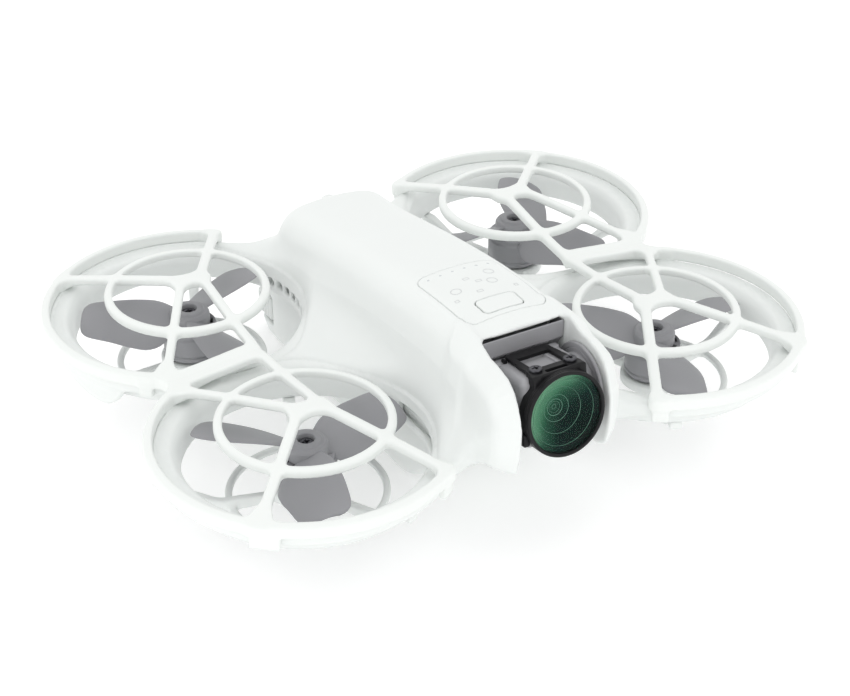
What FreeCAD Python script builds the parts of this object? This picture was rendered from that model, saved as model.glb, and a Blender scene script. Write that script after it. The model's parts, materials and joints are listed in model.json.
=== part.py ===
import FreeCAD, Part
import math
import os
import Sketcher

# Ducted micro quadcopter with a nose camera, in millimetres.
# Frame: origin at the centre of the bounding box, on the ground. The nose points along -Y,
# +X is the drone's left and +Z is up.

doc = FreeCAD.newDocument("ducted_quadcopter")
sheet = doc.addObject("Spreadsheet::Sheet", "dims")

DIMENSIONS = [
    # airframe layout
    ("axis_x", 45.0, "rotor axis, sideways from the middle"),
    ("axis_y", 30.55, "rotor axis, fore and aft from the middle"),
    ("guard_z", 31.5, "top of the guards' inner rings"),
    ("split_z", 26.0, "joint between the upper and the lower shell"),
    ("wall", 1.6, "shell wall"),
    # ducts
    ("rim_radius", 33.4, "outer radius of the guards' outer rims"),
    ("duct_radius", 32.4, "outer radius of the duct lip"),
    ("throat_radius", 26.6, "duct throat"),
    ("duct_wall", 1.4, "duct wall"),
    ("lip_z", 26.5, "top of the duct lip"),
    ("apron_z", 22.6, "bottom of the lip's outer apron"),
    ("duct_foot_z", 18.5, "bottom of the duct"),
    # guards
    ("ring_radius", 19.2, "outer radius of the inner ring"),
    ("band", 1.8, "width of rings, rims and spokes"),
    ("guard_thick", 2.1, "height of the guard's section"),
    ("hub_rise", 3.0, "hub above the inner ring"),
    ("rim_drop", 2.7, "outer rim below the inner ring"),
    # motor mounts
    ("mount_radius", 17.8, "outer radius of the lower ring"),
    ("mount_z", 13.2, "bottom of the lower ring and ribs"),
    ("rib_height", 3.0, "height of a rib"),
    ("rib_width", 1.8, "width of a rib"),
    ("base_radius", 7.3, "motor base"),
    ("base_z", 11.8, "bottom of the motor base"),
    ("base_height", 2.4, "thickness of the motor base"),
    # motors and propellers
    ("bell_radius", 6.5, "motor bell"),
    ("bell_z", 14.6, "bottom of the bell"),
    ("bell_height", 7.7, "height of the bell"),
    ("bell_wall", 0.8, "bell wall with its magnets"),
    ("shaft_radius", 0.75, "motor shaft"),
    ("shaft_play", 0.04, "radial play of a shaft in its bore"),
    ("core_radius", 5.2, "stator core"),
    ("sleeve_radius", 1.7, "bearing sleeve"),
    ("hub_radius", 4.8, "propeller hub"),
    ("hub_height", 3.8, "height of the propeller hub"),
    ("prop_radius", 25.5, "propeller tip radius"),
    ("blade_thick", 0.9, "blade thickness"),
    ("blade_pitch", 15.0, "blade angle to the disc, in degrees"),
    # fuselage
    ("hump_half", 13.5, "half width of the hump"),
    ("belly_half", 17.5, "half width of the belly"),
    ("nose_y", -43.6, "front edge of the hump over the camera"),
    ("tail_y", 47.0, "rear wall of the hump"),
    ("deck_rear_y", 54.0, "rear edge of the deck and the belly"),
    ("prong_inner", 10.4, "inner face of a nose prong, from the middle"),
    ("bay_floor_z", 20.5, "floor of the camera bay"),
    ("panel_z", 46.7, "seat of the touch panel"),
    # camera
    ("tilt_y", -51.0, "tilt axis, fore and aft"),
    ("tilt_z", 35.0, "tilt axis, height"),
    ("pivot_radius", 1.0, "tilt pivots"),
    ("camera_half", 8.2, "half width of the camera housing"),
    ("camera_rear_y", -44.6, "rear of the camera housing"),
    ("camera_front_y", -58.0, "front of the camera housing"),
    ("camera_low_z", 26.2, "underside of the camera housing"),
    ("camera_top_z", 42.0, "top of the camera housing"),
    ("bracket_half", 5.9, "half width of the filter's bracket"),
    ("filter_radius", 9.5, "outer radius of the filter ring"),
    ("filter_z", 33.4, "height of the filter's centre"),
    ("filter_rear_y", -59.4, "rear face of the filter ring"),
    ("filter_depth", 2.0, "depth of the filter ring"),
    ("camera_pitch", 10.0, "pitch of the camera at rest, nose up, in degrees"),
    # battery
    ("pack_half", 15.2, "half width of the battery"),
    ("pack_front_y", -9.0, "front end of the battery"),
    ("pack_rear_y", 55.5, "rear end of the battery"),
    ("pack_z", 1.4, "underside of the battery"),
    ("pack_height", 16.2, "height of the battery"),
    ("play", 0.3, "clearance round the battery, latches and buttons"),
]
for row, (alias, value, meaning) in enumerate(DIMENSIONS, start=1):
    sheet.set(f"A{row}", alias)
    sheet.set(f"B{row}", str(value))
    sheet.set(f"C{row}", meaning)
    sheet.setAlias(f"B{row}", alias)
doc.recompute()


class Size:
    """A number that also carries its expression in the sheet's names."""

    def __init__(self, value, text):
        self.value = value
        self.text = text

    def __add__(self, other):
        other = size(other)
        return Size(self.value + other.value, f"({self.text} + {other.text})")

    def __sub__(self, other):
        other = size(other)
        return Size(self.value - other.value, f"({self.text} - {other.text})")

    def __mul__(self, number):
        return Size(self.value * number, f"({self.text} * ({number}))")

    def __neg__(self):
        return self * -1

    def __radd__(self, other):
        return size(other) + self

    def __rsub__(self, other):
        return size(other) - self

    __rmul__ = __mul__


def size(thing):
    return thing if isinstance(thing, Size) else Size(float(thing), f"({thing})")


class Dims:
    """The sheet's cells by name."""


D = Dims()
for alias, value, meaning in DIMENSIONS:
    setattr(D, alias, Size(value, "dims." + alias))

PIECES = []          # finished sub-parts, in the order of their files


def bind(item, field, thing):
    item.setExpression(field, size(thing).text)


def place(item, x=0, y=0, z=0, turn=None, axis=(0, 0, 1)):
    """Place an item, with an optional turn in degrees about an axis."""
    if turn is not None:
        item.Placement.Rotation = FreeCAD.Rotation(FreeCAD.Vector(*axis), 1)
        bind(item, "Placement.Rotation.Angle", turn)
    for name, value in zip("xyz", (x, y, z)):
        bind(item, "Placement.Base." + name, value)
    return item


def box(name, x, y, z):
    """A box from its (low, high) pairs."""
    item = doc.addObject("Part::Box", name)
    for field, (low, high) in zip(("Length", "Width", "Height"), (x, y, z)):
        bind(item, field, size(high) - low)
    return place(item, x[0], y[0], z[0])


def bar(name, start, length, width, angle, z, height):
    """A flat bar from a point outwards, centred on its line."""
    item = doc.addObject("Part::Box", name)
    bind(item, "Length", length)
    bind(item, "Width", width)
    bind(item, "Height", height)
    lean = math.radians(angle)
    side = size(width) * 0.5
    return place(item, start[0] + side * math.sin(lean), start[1] - side * math.cos(lean), z,
                 turn=angle)


def rod(name, at, radius, length, along="Z"):
    """A cylinder from the centre of its first face, along +X, +Y or +Z."""
    item = doc.addObject("Part::Cylinder", name)
    bind(item, "Radius", radius)
    bind(item, "Height", length)
    turns = {"X": (0, 1, 0), "Y": (-1, 0, 0)}
    if along == "Z":
        return place(item, *at)
    return place(item, *at, turn=90, axis=turns[along])


def joined(name, *items):
    whole = doc.addObject("Part::MultiFuse", name)
    whole.Shapes = list(items)
    return whole


def less(name, base, *tools):
    """Base with the tools taken away."""
    result = doc.addObject("Part::Cut", name)
    result.Base = base
    result.Tool = tools[0] if len(tools) == 1 else joined(name + "_tools", *tools)
    return result


def shared(name, first, second):
    result = doc.addObject("Part::Common", name)
    result.Base = first
    result.Tool = second
    return result


def mirrored(name, source, normal=(1, 0, 0)):
    result = doc.addObject("Part::Mirroring", name)
    result.Source = source
    result.Normal = FreeCAD.Vector(*normal)
    return result


def segment(start, end, bend):
    """A straight run, or an arc that turns left where bend is positive."""
    if bend is None:
        return Part.LineSegment(start, end), (1, 2)
    chord = end - start
    left = FreeCAD.Vector(-chord.y, chord.x, 0).normalize()
    reach = math.sqrt(bend ** 2 - (chord.Length / 2) ** 2)
    centre = (start + end) * 0.5 + left * math.copysign(reach, bend)
    circle = Part.Circle(centre, FreeCAD.Vector(0, 0, 1), abs(bend))
    first, last = (start, end) if bend > 0 else (end, start)
    angles = [math.atan2(p.y - centre.y, p.x - centre.x) for p in (first, last)]
    if angles[1] < angles[0]:
        angles[1] += 2 * math.pi
    return Part.ArcOfCircle(circle, *angles), (1, 2) if bend > 0 else (2, 1)


def outline(body, plane, points, name):
    """A closed sketch through (across, up) points. A third number makes the run to the next
    point an arc of that radius, negative where it turns right."""
    sketch = body.newObject("Sketcher::SketchObject", name)
    sketch.AttachmentSupport = [
        (next(f for f in body.Origin.OriginFeatures if f.Role == plane), "")]
    sketch.MapMode = "FlatFace"
    points = [(size(p[0]), size(p[1]), p[2] if len(p) == 3 else None) for p in points]
    spots = [FreeCAD.Vector(across.value, up.value, 0) for across, up, bend in points]
    ends = []
    for number, (across, up, bend) in enumerate(points):
        curve, pair = segment(spots[number], spots[(number + 1) % len(spots)], bend)
        sketch.addGeometry(curve, False)
        ends.append(pair)
    for number, (across, up, bend) in enumerate(points):
        before = number - 1 if number else len(points) - 1
        sketch.addConstraint(Sketcher.Constraint(
            "Coincident", before, ends[before][1], number, ends[number][0]))
        for kind, wanted in (("DistanceX", across), ("DistanceY", up)):
            index = sketch.addConstraint(Sketcher.Constraint(
                kind, -1, 1, number, ends[number][0], wanted.value))
            sketch.setExpression(f"Constraints[{index}]", wanted.text)
        if bend is not None:
            sketch.addConstraint(Sketcher.Constraint("Radius", number, abs(bend)))
    return sketch


def turned(name, points):
    """A body of revolution about Z from (radius, height) points."""
    body = doc.addObject("PartDesign::Body", name)
    sketch = outline(body, "XZ_Plane", points, name + "_section")
    turn = body.newObject("PartDesign::Revolution", name + "_turn")
    turn.Profile = sketch
    turn.ReferenceAxis = (sketch, ["V_Axis"])
    turn.Angle = 360
    return body


def prism(name, plane, points, start, end):
    """A pad of an outline between two distances along the plane's normal."""
    body = doc.addObject("PartDesign::Body", name)
    sketch = outline(body, plane, points, name + "_outline")
    bind(sketch, "AttachmentOffset.Base.z", start)
    pad = body.newObject("PartDesign::Pad", name + "_pad")
    pad.Profile = sketch
    bind(pad, "Length", size(end) - start)
    return body


def rounded(body, radius, wanted):
    """Fillet the edges of a body that the test picks."""
    doc.recompute()
    base = body.Tip
    edges = [f"Edge{n}" for n, edge in enumerate(base.Shape.Edges, start=1) if wanted(edge)]
    fillet = body.newObject("PartDesign::Fillet", body.Name + "_rounding")
    fillet.Base = (base, edges)
    fillet.Radius = radius
    return body


def keep(item, label):
    """List an item as a finished sub-part under the label that names its file."""
    item.Label = label
    PIECES.append(item)
    return item


CORNERS = {"front_left": (1, -1), "front_right": (-1, -1), "rear_left": (1, 1),
           "rear_right": (-1, 1)}
HALF = 90            # half size of a block that is only used to cut


def ducts():
    """Four bell-mouthed ducts; a front and a rear one meet in the middle."""
    for corner, (side, end) in CORNERS.items():
        outer = D.throat_radius + D.duct_wall
        shell = turned("duct_shell_" + corner, [
            (D.throat_radius, D.duct_foot_z), (outer, D.duct_foot_z), (outer, D.apron_z),
            (D.duct_radius - D.duct_wall, D.apron_z + 1.8),
            (D.duct_radius - D.duct_wall, D.apron_z), (D.duct_radius, D.apron_z),
            (D.duct_radius, D.lip_z), (D.duct_radius - D.duct_wall, D.lip_z, 5.2),
            (D.throat_radius, D.apron_z)])
        place(shell, D.axis_x * side, D.axis_y * end, 0)
        beyond = box("beyond_" + corner, (-HALF, HALF), (0, HALF) if end < 0 else (-HALF, 0),
                     (0, HALF))
        keep(less("duct_cut_" + corner, shell, beyond), "duct_" + corner)


def duct_space(name, radius, low):
    """The space that the four ducts take out of the fuselage, from a height up."""
    spaces = []
    for corner, (side, end) in CORNERS.items():
        spaces.append(rod(f"{name}_{corner}", (D.axis_x * side, D.axis_y * end, low),
                          radius, HALF))
    return joined(name, *spaces)


def guard_plan(z, height):
    """Ring, rim, spokes and hub of the front left rotor's guard, as tall flat shapes."""
    centre = (D.axis_x, -D.axis_y)
    ring = less("ring_plan", rod("ring_out", (*centre, z), D.ring_radius, height),
                rod("ring_in", (*centre, z), D.ring_radius - D.band, height))
    rim = less("rim_plan", rod("rim_out", (*centre, z), D.rim_radius, height),
               rod("rim_in", (*centre, z), D.rim_radius - D.band, height))
    inboard = prism("rim_gap", "XY_Plane", [
        centre, (D.axis_x - 50, -D.axis_y - 68), (D.axis_x - HALF, 0), (D.axis_x, HALF),
        (D.axis_x + 50, -D.axis_y + 82)], z - 1, size(z) + height + 1)
    rim = less("rim_arc", rim, inboard)
    outer_hub = (D.axis_x + 1.3, -D.axis_y)
    inner_hub = (D.axis_x - 3.5, -D.axis_y)
    spokes = [
        bar("spoke_rear_out", outer_hub, 30.0, D.band, 59.9, z, height),
        bar("spoke_front_out", outer_hub, 31.0, D.band, -48.4, z, height),
        bar("spoke_front_in", inner_hub, 29.6, D.band, -120.2, z, height),
        bar("spoke_rear_in", inner_hub, D.axis_y, D.band, 90, z, height),
    ]
    hub = box("hub_band", (D.axis_x - 5.2, D.axis_x + 3.2), (-D.axis_y - 2.2, -D.axis_y + 2.2),
              (z, size(z) + height))
    bridge = box("bridge", (D.axis_x - 3.5, D.axis_x + 17.5), (-2.2, 0), (z, size(z) + height))
    gusset = box("gusset", (D.axis_x + 15.2, D.axis_x + 18.0), (-5.5, 0), (z, size(z) + height))
    plan = joined("guard_plan", ring, rim, *spokes, hub, bridge, gusset)
    front = box("front_half", (0, HALF), (-HALF, 0), (z, size(z) + height))
    return shared("guard_plan_half", plan, front)


def guards():
    """Left and right top guards. Each domes up over a front and a rear rotor."""
    low = D.guard_z - D.rim_drop - D.guard_thick
    top = D.guard_z
    thick = D.guard_thick
    dome = turned("dome", [
        (0, top + D.hub_rise - thick), (5, top + D.hub_rise - thick),
        (D.ring_radius - 0.9, top - thick), (D.rim_radius, low), (D.rim_radius + 1, low),
        (D.rim_radius + 1, low + thick), (D.rim_radius - D.band, low + thick),
        (D.ring_radius - 0.9, top), (5, top + D.hub_rise), (0, top + D.hub_rise)])
    place(dome, D.axis_x, -D.axis_y, 0)
    front = shared("guard_front", guard_plan(20, 20), dome)
    clips = [clip(number, angle) for number, angle in enumerate((-122, -49, 52))]
    half = joined("guard_half", front, *clips)
    whole = joined("guard_whole", half, mirrored("guard_rear", half, (0, 1, 0)))
    keep(whole, "guard_left")
    keep(mirrored("guard_other", whole), "guard_right")


def clip(number, angle):
    """A clip that hangs from the rim beside the duct lip."""
    lean = math.radians(angle)
    out = D.duct_radius + 0.1
    start = (D.axis_x + out * math.cos(lean), -D.axis_y + out * math.sin(lean))
    return bar(f"clip_{number}", start, 0.9, 5, angle, D.apron_z, D.lip_z - D.apron_z + 1.4)


RIBS = (10, 108, 245)        # degrees, from outboard towards the rear


def mounts():
    """Lower ring, motor base and three ribs under each duct."""
    for corner, (side, end) in CORNERS.items():
        name = "mount_" + corner
        ring = less(name + "_ring",
                    rod(name + "_out", (0, 0, D.mount_z), D.mount_radius, 1.4),
                    rod(name + "_in", (0, 0, D.mount_z), D.mount_radius - 1.6, 1.4))
        base = rod(name + "_base", (0, 0, D.base_z), D.base_radius, D.base_height)
        ribs = []
        for rib, direction in enumerate(RIBS):
            rear = direction if end < 0 else -direction
            angle = rear if side > 0 else 180 - rear
            lean = math.radians(angle)
            root = D.base_radius - 0.3
            ribs.append(bar(f"{name}_rib_{rib}", (root * math.cos(lean), root * math.sin(lean)),
                            D.throat_radius + D.duct_wall - root, D.rib_width, angle,
                            D.mount_z, D.rib_height))
            post = (D.throat_radius * math.cos(lean), D.throat_radius * math.sin(lean))
            ribs.append(bar(f"{name}_post_{rib}", post, D.duct_wall - 0.05, D.rib_width, angle,
                            D.mount_z, D.duct_foot_z - D.mount_z))
        whole = joined(name + "_whole", ring, base, *ribs)
        drilled = less(name + "_drilled", whole, at_origin_screws(name))
        keep(place(drilled, D.axis_x * side, D.axis_y * end, 0), name)


SCREW_CIRCLE = 4.4           # motor screws


def at_origin_screws(name):
    """Three motor screws about the origin's vertical: heads below, shanks above."""
    items = []
    for number in range(3):
        turn = math.radians(120 * number + 30)
        spot = (SCREW_CIRCLE * math.cos(turn), SCREW_CIRCLE * math.sin(turn))
        items.append(rod(f"{name}_head_{number}", (*spot, D.base_z), 1.0, 0.8))
        items.append(rod(f"{name}_shank_{number}", (*spot, D.base_z), 0.5, D.base_height))
    return joined(name + "_screws", *items)


def motor_screws():
    groups = []
    for corner, (side, end) in CORNERS.items():
        group = at_origin_screws("fixing_" + corner)
        groups.append(place(group, D.axis_x * side, D.axis_y * end, 0))
    keep(joined("motor_screw_group", *groups), "motor_screws")


def motors():
    """Stator and sleeve on the mount; bell and shaft turn."""
    base_top = D.base_z + D.base_height
    bell_top = D.bell_z + D.bell_height
    roof = bell_top - D.bell_wall
    inner = D.bell_radius - D.bell_wall
    for corner, (side, end) in CORNERS.items():
        bore = D.shaft_radius + D.shaft_play
        stator = turned("stator_body_" + corner, [
            (bore, base_top), (D.sleeve_radius, base_top), (D.sleeve_radius, base_top + 1),
            (D.core_radius, base_top + 1), (D.core_radius, roof - 1.2),
            (D.sleeve_radius, roof - 1.2), (D.sleeve_radius, roof - 0.5), (bore, roof - 0.5)])
        keep(place(stator, D.axis_x * side, D.axis_y * end, 0), "stator_" + corner)
        bell = turned("bell_body_" + corner, [
            (0, base_top + 0.3), (D.shaft_radius, base_top + 0.3), (D.shaft_radius, roof),
            (inner, roof), (inner, D.bell_z), (D.bell_radius, D.bell_z),
            (D.bell_radius, bell_top), (0, bell_top)])
        keep(place(bell, D.axis_x * side, D.axis_y * end, 0), "motor_bell_" + corner)


# First blade's direction in degrees, and the turn: 1 is counter-clockwise from above.
SPIN = {"front_left": (10, -1), "front_right": (17, 1), "rear_left": (55, 1),
        "rear_right": (32, -1)}


def propellers():
    """Three broad blades on a hub, with a screw in the middle."""
    low = D.bell_z + D.bell_height
    for corner, (side, end) in CORNERS.items():
        first, turn = SPIN[corner]
        name = "propeller_" + corner
        body = doc.addObject("PartDesign::Body", name + "_body")
        section = outline(body, "XZ_Plane", [
            (0.8, low), (D.hub_radius, low), (D.hub_radius, low + D.hub_height),
            (2.6, low + D.hub_height), (2.6, low + 2.2), (0.8, low + 2.2)], name + "_section")
        hub = body.newObject("PartDesign::Revolution", name + "_hub")
        hub.Profile = section
        hub.ReferenceAxis = (section, ["V_Axis"])
        hub.Angle = 360
        tip = D.prop_radius - 0.4
        plan = outline(body, "XY_Plane", [
            (3.2, -2.4 * turn), (9, -5.0 * turn), (18, -6.6 * turn), (tip - 2, -6.0 * turn),
            (tip, -3.0 * turn), (tip, 3.5 * turn), (tip - 2.5, 5.4 * turn), (12, 5.6 * turn),
            (7, 3.8 * turn), (3.2, 2.4 * turn)], name + "_plan")
        plan.AttachmentOffset = FreeCAD.Placement(
            FreeCAD.Vector(), FreeCAD.Rotation(FreeCAD.Vector(turn, 0, 0), 1))
        bind(plan, "AttachmentOffset.Rotation.Angle", D.blade_pitch)
        bind(plan, "AttachmentOffset.Base.z", low + 1.6)
        blade = body.newObject("PartDesign::Pad", name + "_blade")
        blade.Profile = plan
        bind(blade, "Length", D.blade_thick)
        pattern = body.newObject("PartDesign::PolarPattern", name + "_blades")
        pattern.Originals = [blade]
        pattern.Axis = (next(f for f in body.Origin.OriginFeatures if f.Role == "Z_Axis"), [""])
        pattern.Angle = 360
        pattern.Occurrences = 3
        body.Tip = pattern
        whole = less(name + "_bored", body, rod(name + "_bore", (0, 0, low), 0.8, 2.2),
                     rod(name + "_recess", (0, 0, low + 2.2), 2.6, 4))
        keep(place(whole, D.axis_x * side, D.axis_y * end, 0, turn=first), name)
        screw = turned("prop_screw_body_" + corner, [
            (0, low), (0.8, low), (0.8, low + 2.2), (1.7, low + 2.2), (1.7, low + 3.2),
            (0, low + 3.2)])
        keep(place(screw, D.axis_x * side, D.axis_y * end, 0), "prop_screw_" + corner)


HUMP_TOP_LOW = 30            # the hump's upper edges all lie above this height


def hump_profile(inset):
    """Side profile of the hump, as (y, z) points, moved inwards by an inset.
    A hollow runs out through the front and the bottom."""
    low = D.split_z - inset
    front = D.nose_y - inset * 0.25
    return [(front, low), (D.tail_y - inset, low), (D.tail_y - inset, 37.6 - inset),
            (44.5 - inset, 39.2 - inset * 1.4), (30, 40.6 - inset * 1.6),
            (-18, 47.8 - inset * 1.6, 78), (front, 47.0 - inset * 1.6)]


def hump_body(name, inset, radius):
    half = D.hump_half - inset
    body = prism(name, "YZ_Plane", hump_profile(inset), -half, half)
    return rounded(body, radius, lambda edge: lengthwise_top(edge, half.value))


def lengthwise_top(edge, half):
    """True for the long upper edges on the hump's two sides."""
    ends = edge.BoundBox
    flat = abs(ends.XMin - ends.XMax) < 1e-6 and abs(abs(ends.XMin) - half) < 1e-6
    return flat and ends.ZMin > HUMP_TOP_LOW


PORT_X = (-4.6, 4.6)         # charging port in the tail wall
PORT_Z = (28.4, 31.6)
POWER_Z = 34.8               # power button above it
POWER_RADIUS = 2.4
PANEL_X = (-10, 10)          # touch panel on top of the hump
PANEL_Y = (-38.6, -15)
BUTTON_GAP_X = (-5.1, 5.1)   # hole in the panel for the mode button
BUTTON_GAP_Y = (-37.2, -31.4)


def prongs():
    """Two side plates that carry the camera between them."""
    profile = [(-57.6, 21.0), (-38, D.bay_floor_z), (-38, 47.2), (-44, 47.2, 9), (-49, 45.8),
               (-52, 45.7, 18), (-58, 43.0, 9), (-60.9, 37.5), (-61.8, 34.4, 60),
               (-61.4, 27.2), (-60, 23.2, 5)]
    left = prism("prong_left", "YZ_Plane", profile, D.prong_inner, D.hump_half)
    return [left, mirrored("prong_right", left)]


def upper_shell():
    hump = hump_body("hump", 0, 5)
    flare = prism("flare", "XZ_Plane", [
        (-19, D.split_z), (19, D.split_z), (D.hump_half, 36), (-D.hump_half, 36)],
        -D.deck_rear_y + 4, 43)
    deck = prism("deck", "XY_Plane", [
        (-14, -44), (14, -44), (34, -6), (34, 6), (21, 44), (16, D.deck_rear_y),
        (-16, D.deck_rear_y), (-21, 44), (-34, 6), (-34, -6)], D.split_z, D.split_z + 1.6)
    skirt = less("skirt", joined("flare_and_deck", flare, deck),
                 duct_space("flare_ducts", D.duct_radius, 10))
    top = less("hump_cut", joined("hump_and_prongs", hump, *prongs()), duct_space_below())
    outside = joined("upper_outside", top, skirt)
    hollow = hump_body("hump_hollow", D.wall, 3.4)
    panel_seat = box("panel_seat", PANEL_X, PANEL_Y, (D.panel_z, 60))
    button_hole = box("button_hole", BUTTON_GAP_X, BUTTON_GAP_Y, (40, 60))
    port_hole = box("port_hole", PORT_X, (40, 50), PORT_Z)
    power_hole = rod("power_hole", (0, 40, POWER_Z), POWER_RADIUS + 0.3, 10, "Y")
    screws = shell_screw_shapes("upper")
    keep(less("upper_shell_body", outside, hollow, panel_seat, button_hole, port_hole,
              power_hole, screws), "upper_shell")


def duct_space_below():
    """Duct cylinders up to the lip, where the hump stands over it."""
    tall = duct_space("hump_ducts", D.duct_radius, 0)
    return shared("hump_duct_feet", tall,
                  box("below_lip", (-HALF, HALF), (-HALF, HALF), (0, D.lip_z)))


SHELL_SCREWS = ((8.5, -37.5, 12.6), (19.5, 0.0, 18.6))      # x, y and underside of the head


def shell_screw_shapes(name):
    items = []
    for side in (1, -1):
        for number, (x, y, z) in enumerate(SHELL_SCREWS):
            label = f"{name}_screw_{number}_{'left' if side > 0 else 'right'}"
            items.append(rod(label + "_head", (x * side, y, z), 1.5, 1.2))
            items.append(rod(label + "_shank", (x * side, y, z + 1.2), 0.8, 6.6))
    return joined(name + "_screws", *items)


def shell_screws():
    keep(shell_screw_shapes("loose"), "shell_screws")


def lower_shell():
    side = prism("belly_side", "YZ_Plane", [
        (-46.2, D.bay_floor_z), (-46.2, 17.5, 4), (-42, 14.2), (-22, 0), (48, 0, 9),
        (D.deck_rear_y, 8), (D.deck_rear_y, D.split_z), (-38, D.split_z),
        (-38, D.bay_floor_z)], -D.belly_half - 4, D.belly_half + 4)
    plan = prism("belly_plan", "XY_Plane", [
        (-13.4, -42, 26), (13.4, -42), (D.belly_half, -33), (D.belly_half, 50),
        (13.5, D.deck_rear_y), (-13.5, D.deck_rear_y), (-D.belly_half, 50),
        (-D.belly_half, -33)], 0, D.split_z)
    belly = shared("belly", side, plan)
    bosses = [rod(f"boss_{n}", (x, 0, 18.6), 3.0, D.split_z - 18.6)
              for n, x in enumerate((19.5, -19.5))]
    arms = box("boss_arm", (-19.5, 19.5), (-2, 2), (19.8, D.split_z))
    outside = joined("belly_outside", belly, arms, *bosses)
    inner = prism("belly_hollow", "YZ_Plane", [
        (-36, 27), (-36, 14.5), (-20, 2.6), (-11.2, 2.6), (-11.2, 19.4), (44, 19.4), (44, 27)],
        -11, 11)
    play = D.play
    pack_room = box("pack_room", (-D.pack_half - play, D.pack_half + play),
                    (D.pack_front_y - play, HALF),
                    (D.pack_z - play, D.pack_z + D.pack_height + play))
    latch_room = box("latch_room", (-HALF, HALF), (44.4, HALF), (5.4, 13.6))
    keep(less("lower_shell_body", outside, inner, pack_room, latch_room,
              duct_space("belly_lips", D.duct_radius, D.apron_z),
              duct_space("belly_throats", D.throat_radius + D.duct_wall, D.duct_foot_z),
              shell_screw_shapes("lower"),
              rod("head_room_left", (8.5, -37.5, 0), 1.6, 12.6),
              rod("head_room_right", (-8.5, -37.5, 0), 1.6, 12.6),
              rod("lens_hole", (0, -15.5, -1), 3.0, 6),
              rod("window_hole_left", (7.5, -15.5, -1), 1.8, 6),
              rod("window_hole_right", (-7.5, -15.5, -1), 1.8, 6),
              box("socket_hole", (-6, 6), (-13, -9), (6, 12))), "lower_shell")


def panel_parts():
    """Touch panel, its status lights and the mode button follow the hump's top."""
    seat = box("panel_block", PANEL_X, PANEL_Y, (D.panel_z, 60))
    skin = shared("panel_skin", hump_body("panel_hump", 0, 5), seat)
    gap = box("button_gap", BUTTON_GAP_X, BUTTON_GAP_Y, (40, 60))
    lights = joined("light_rods", *[
        rod(f"light_rod_{n}", (-7.5 + 3 * n, -17.2, D.panel_z), 0.45, 10) for n in range(6)])
    keep(less("panel_body", skin, gap, lights), "touch_panel")
    keep(shared("light_group", hump_body("light_hump", 0, 5), lights), "status_lights")
    cap = shared("button_cap", hump_body("button_hump", 0, 5),
                 box("button_block", (-4.8, 4.8), (-36.9, -31.7), (44.6, 60)))
    flange = box("button_flange", (-5.8, 5.8), (-36.9, -31.7), (44.4, 45.0))
    keep(joined("button_body", cap, flange), "mode_button")


def bay_parts():
    """Liner of the camera bay, tilt motor and the pin opposite it."""
    liner = less("liner_cut", box("liner_block", (-10.2, 10.2), (-43.2, -38.2),
                                  (D.bay_floor_z, 43.6)),
                 box("liner_room", (-9.2, 9.2), (-50, -39.2), (D.bay_floor_z + 1, 42.6)))
    keep(liner, "bay_liner")
    gap = D.camera_half + 0.4
    motor = joined("tilt_motor_body",
                   rod("tilt_can", (gap, D.tilt_y, D.tilt_z), 6.0, D.prong_inner - gap, "X"),
                   rod("tilt_shaft", (D.camera_half - 2, D.tilt_y, D.tilt_z), D.pivot_radius,
                       3, "X"))
    keep(motor, "tilt_motor")
    pin = joined("tilt_pin_body",
                 rod("tilt_washer", (-D.prong_inner, D.tilt_y, D.tilt_z), 2.2, 1.4, "X"),
                 rod("tilt_stub", (-D.prong_inner, D.tilt_y, D.tilt_z), D.pivot_radius, 4.2,
                     "X"))
    keep(pin, "tilt_pin")


def pitched(item):
    """Turn a result about the tilt axis, from level to the camera's pitch at rest."""
    y, z, lean = D.tilt_y.value, D.tilt_z.value, math.radians(D.camera_pitch.value)
    sine, cosine = math.sin(lean), math.cos(lean)
    turn = "dims.camera_pitch"
    back = f"dims.tilt_y * (1 - cos({turn})) - dims.tilt_z * sin({turn})"
    rise = f"dims.tilt_z * (1 - cos({turn})) + dims.tilt_y * sin({turn})"
    return place(item, 0, Size(y * (1 - cosine) - z * sine, back),
                 Size(z * (1 - cosine) + y * sine, rise), turn=D.camera_pitch, axis=(-1, 0, 0))


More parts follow.
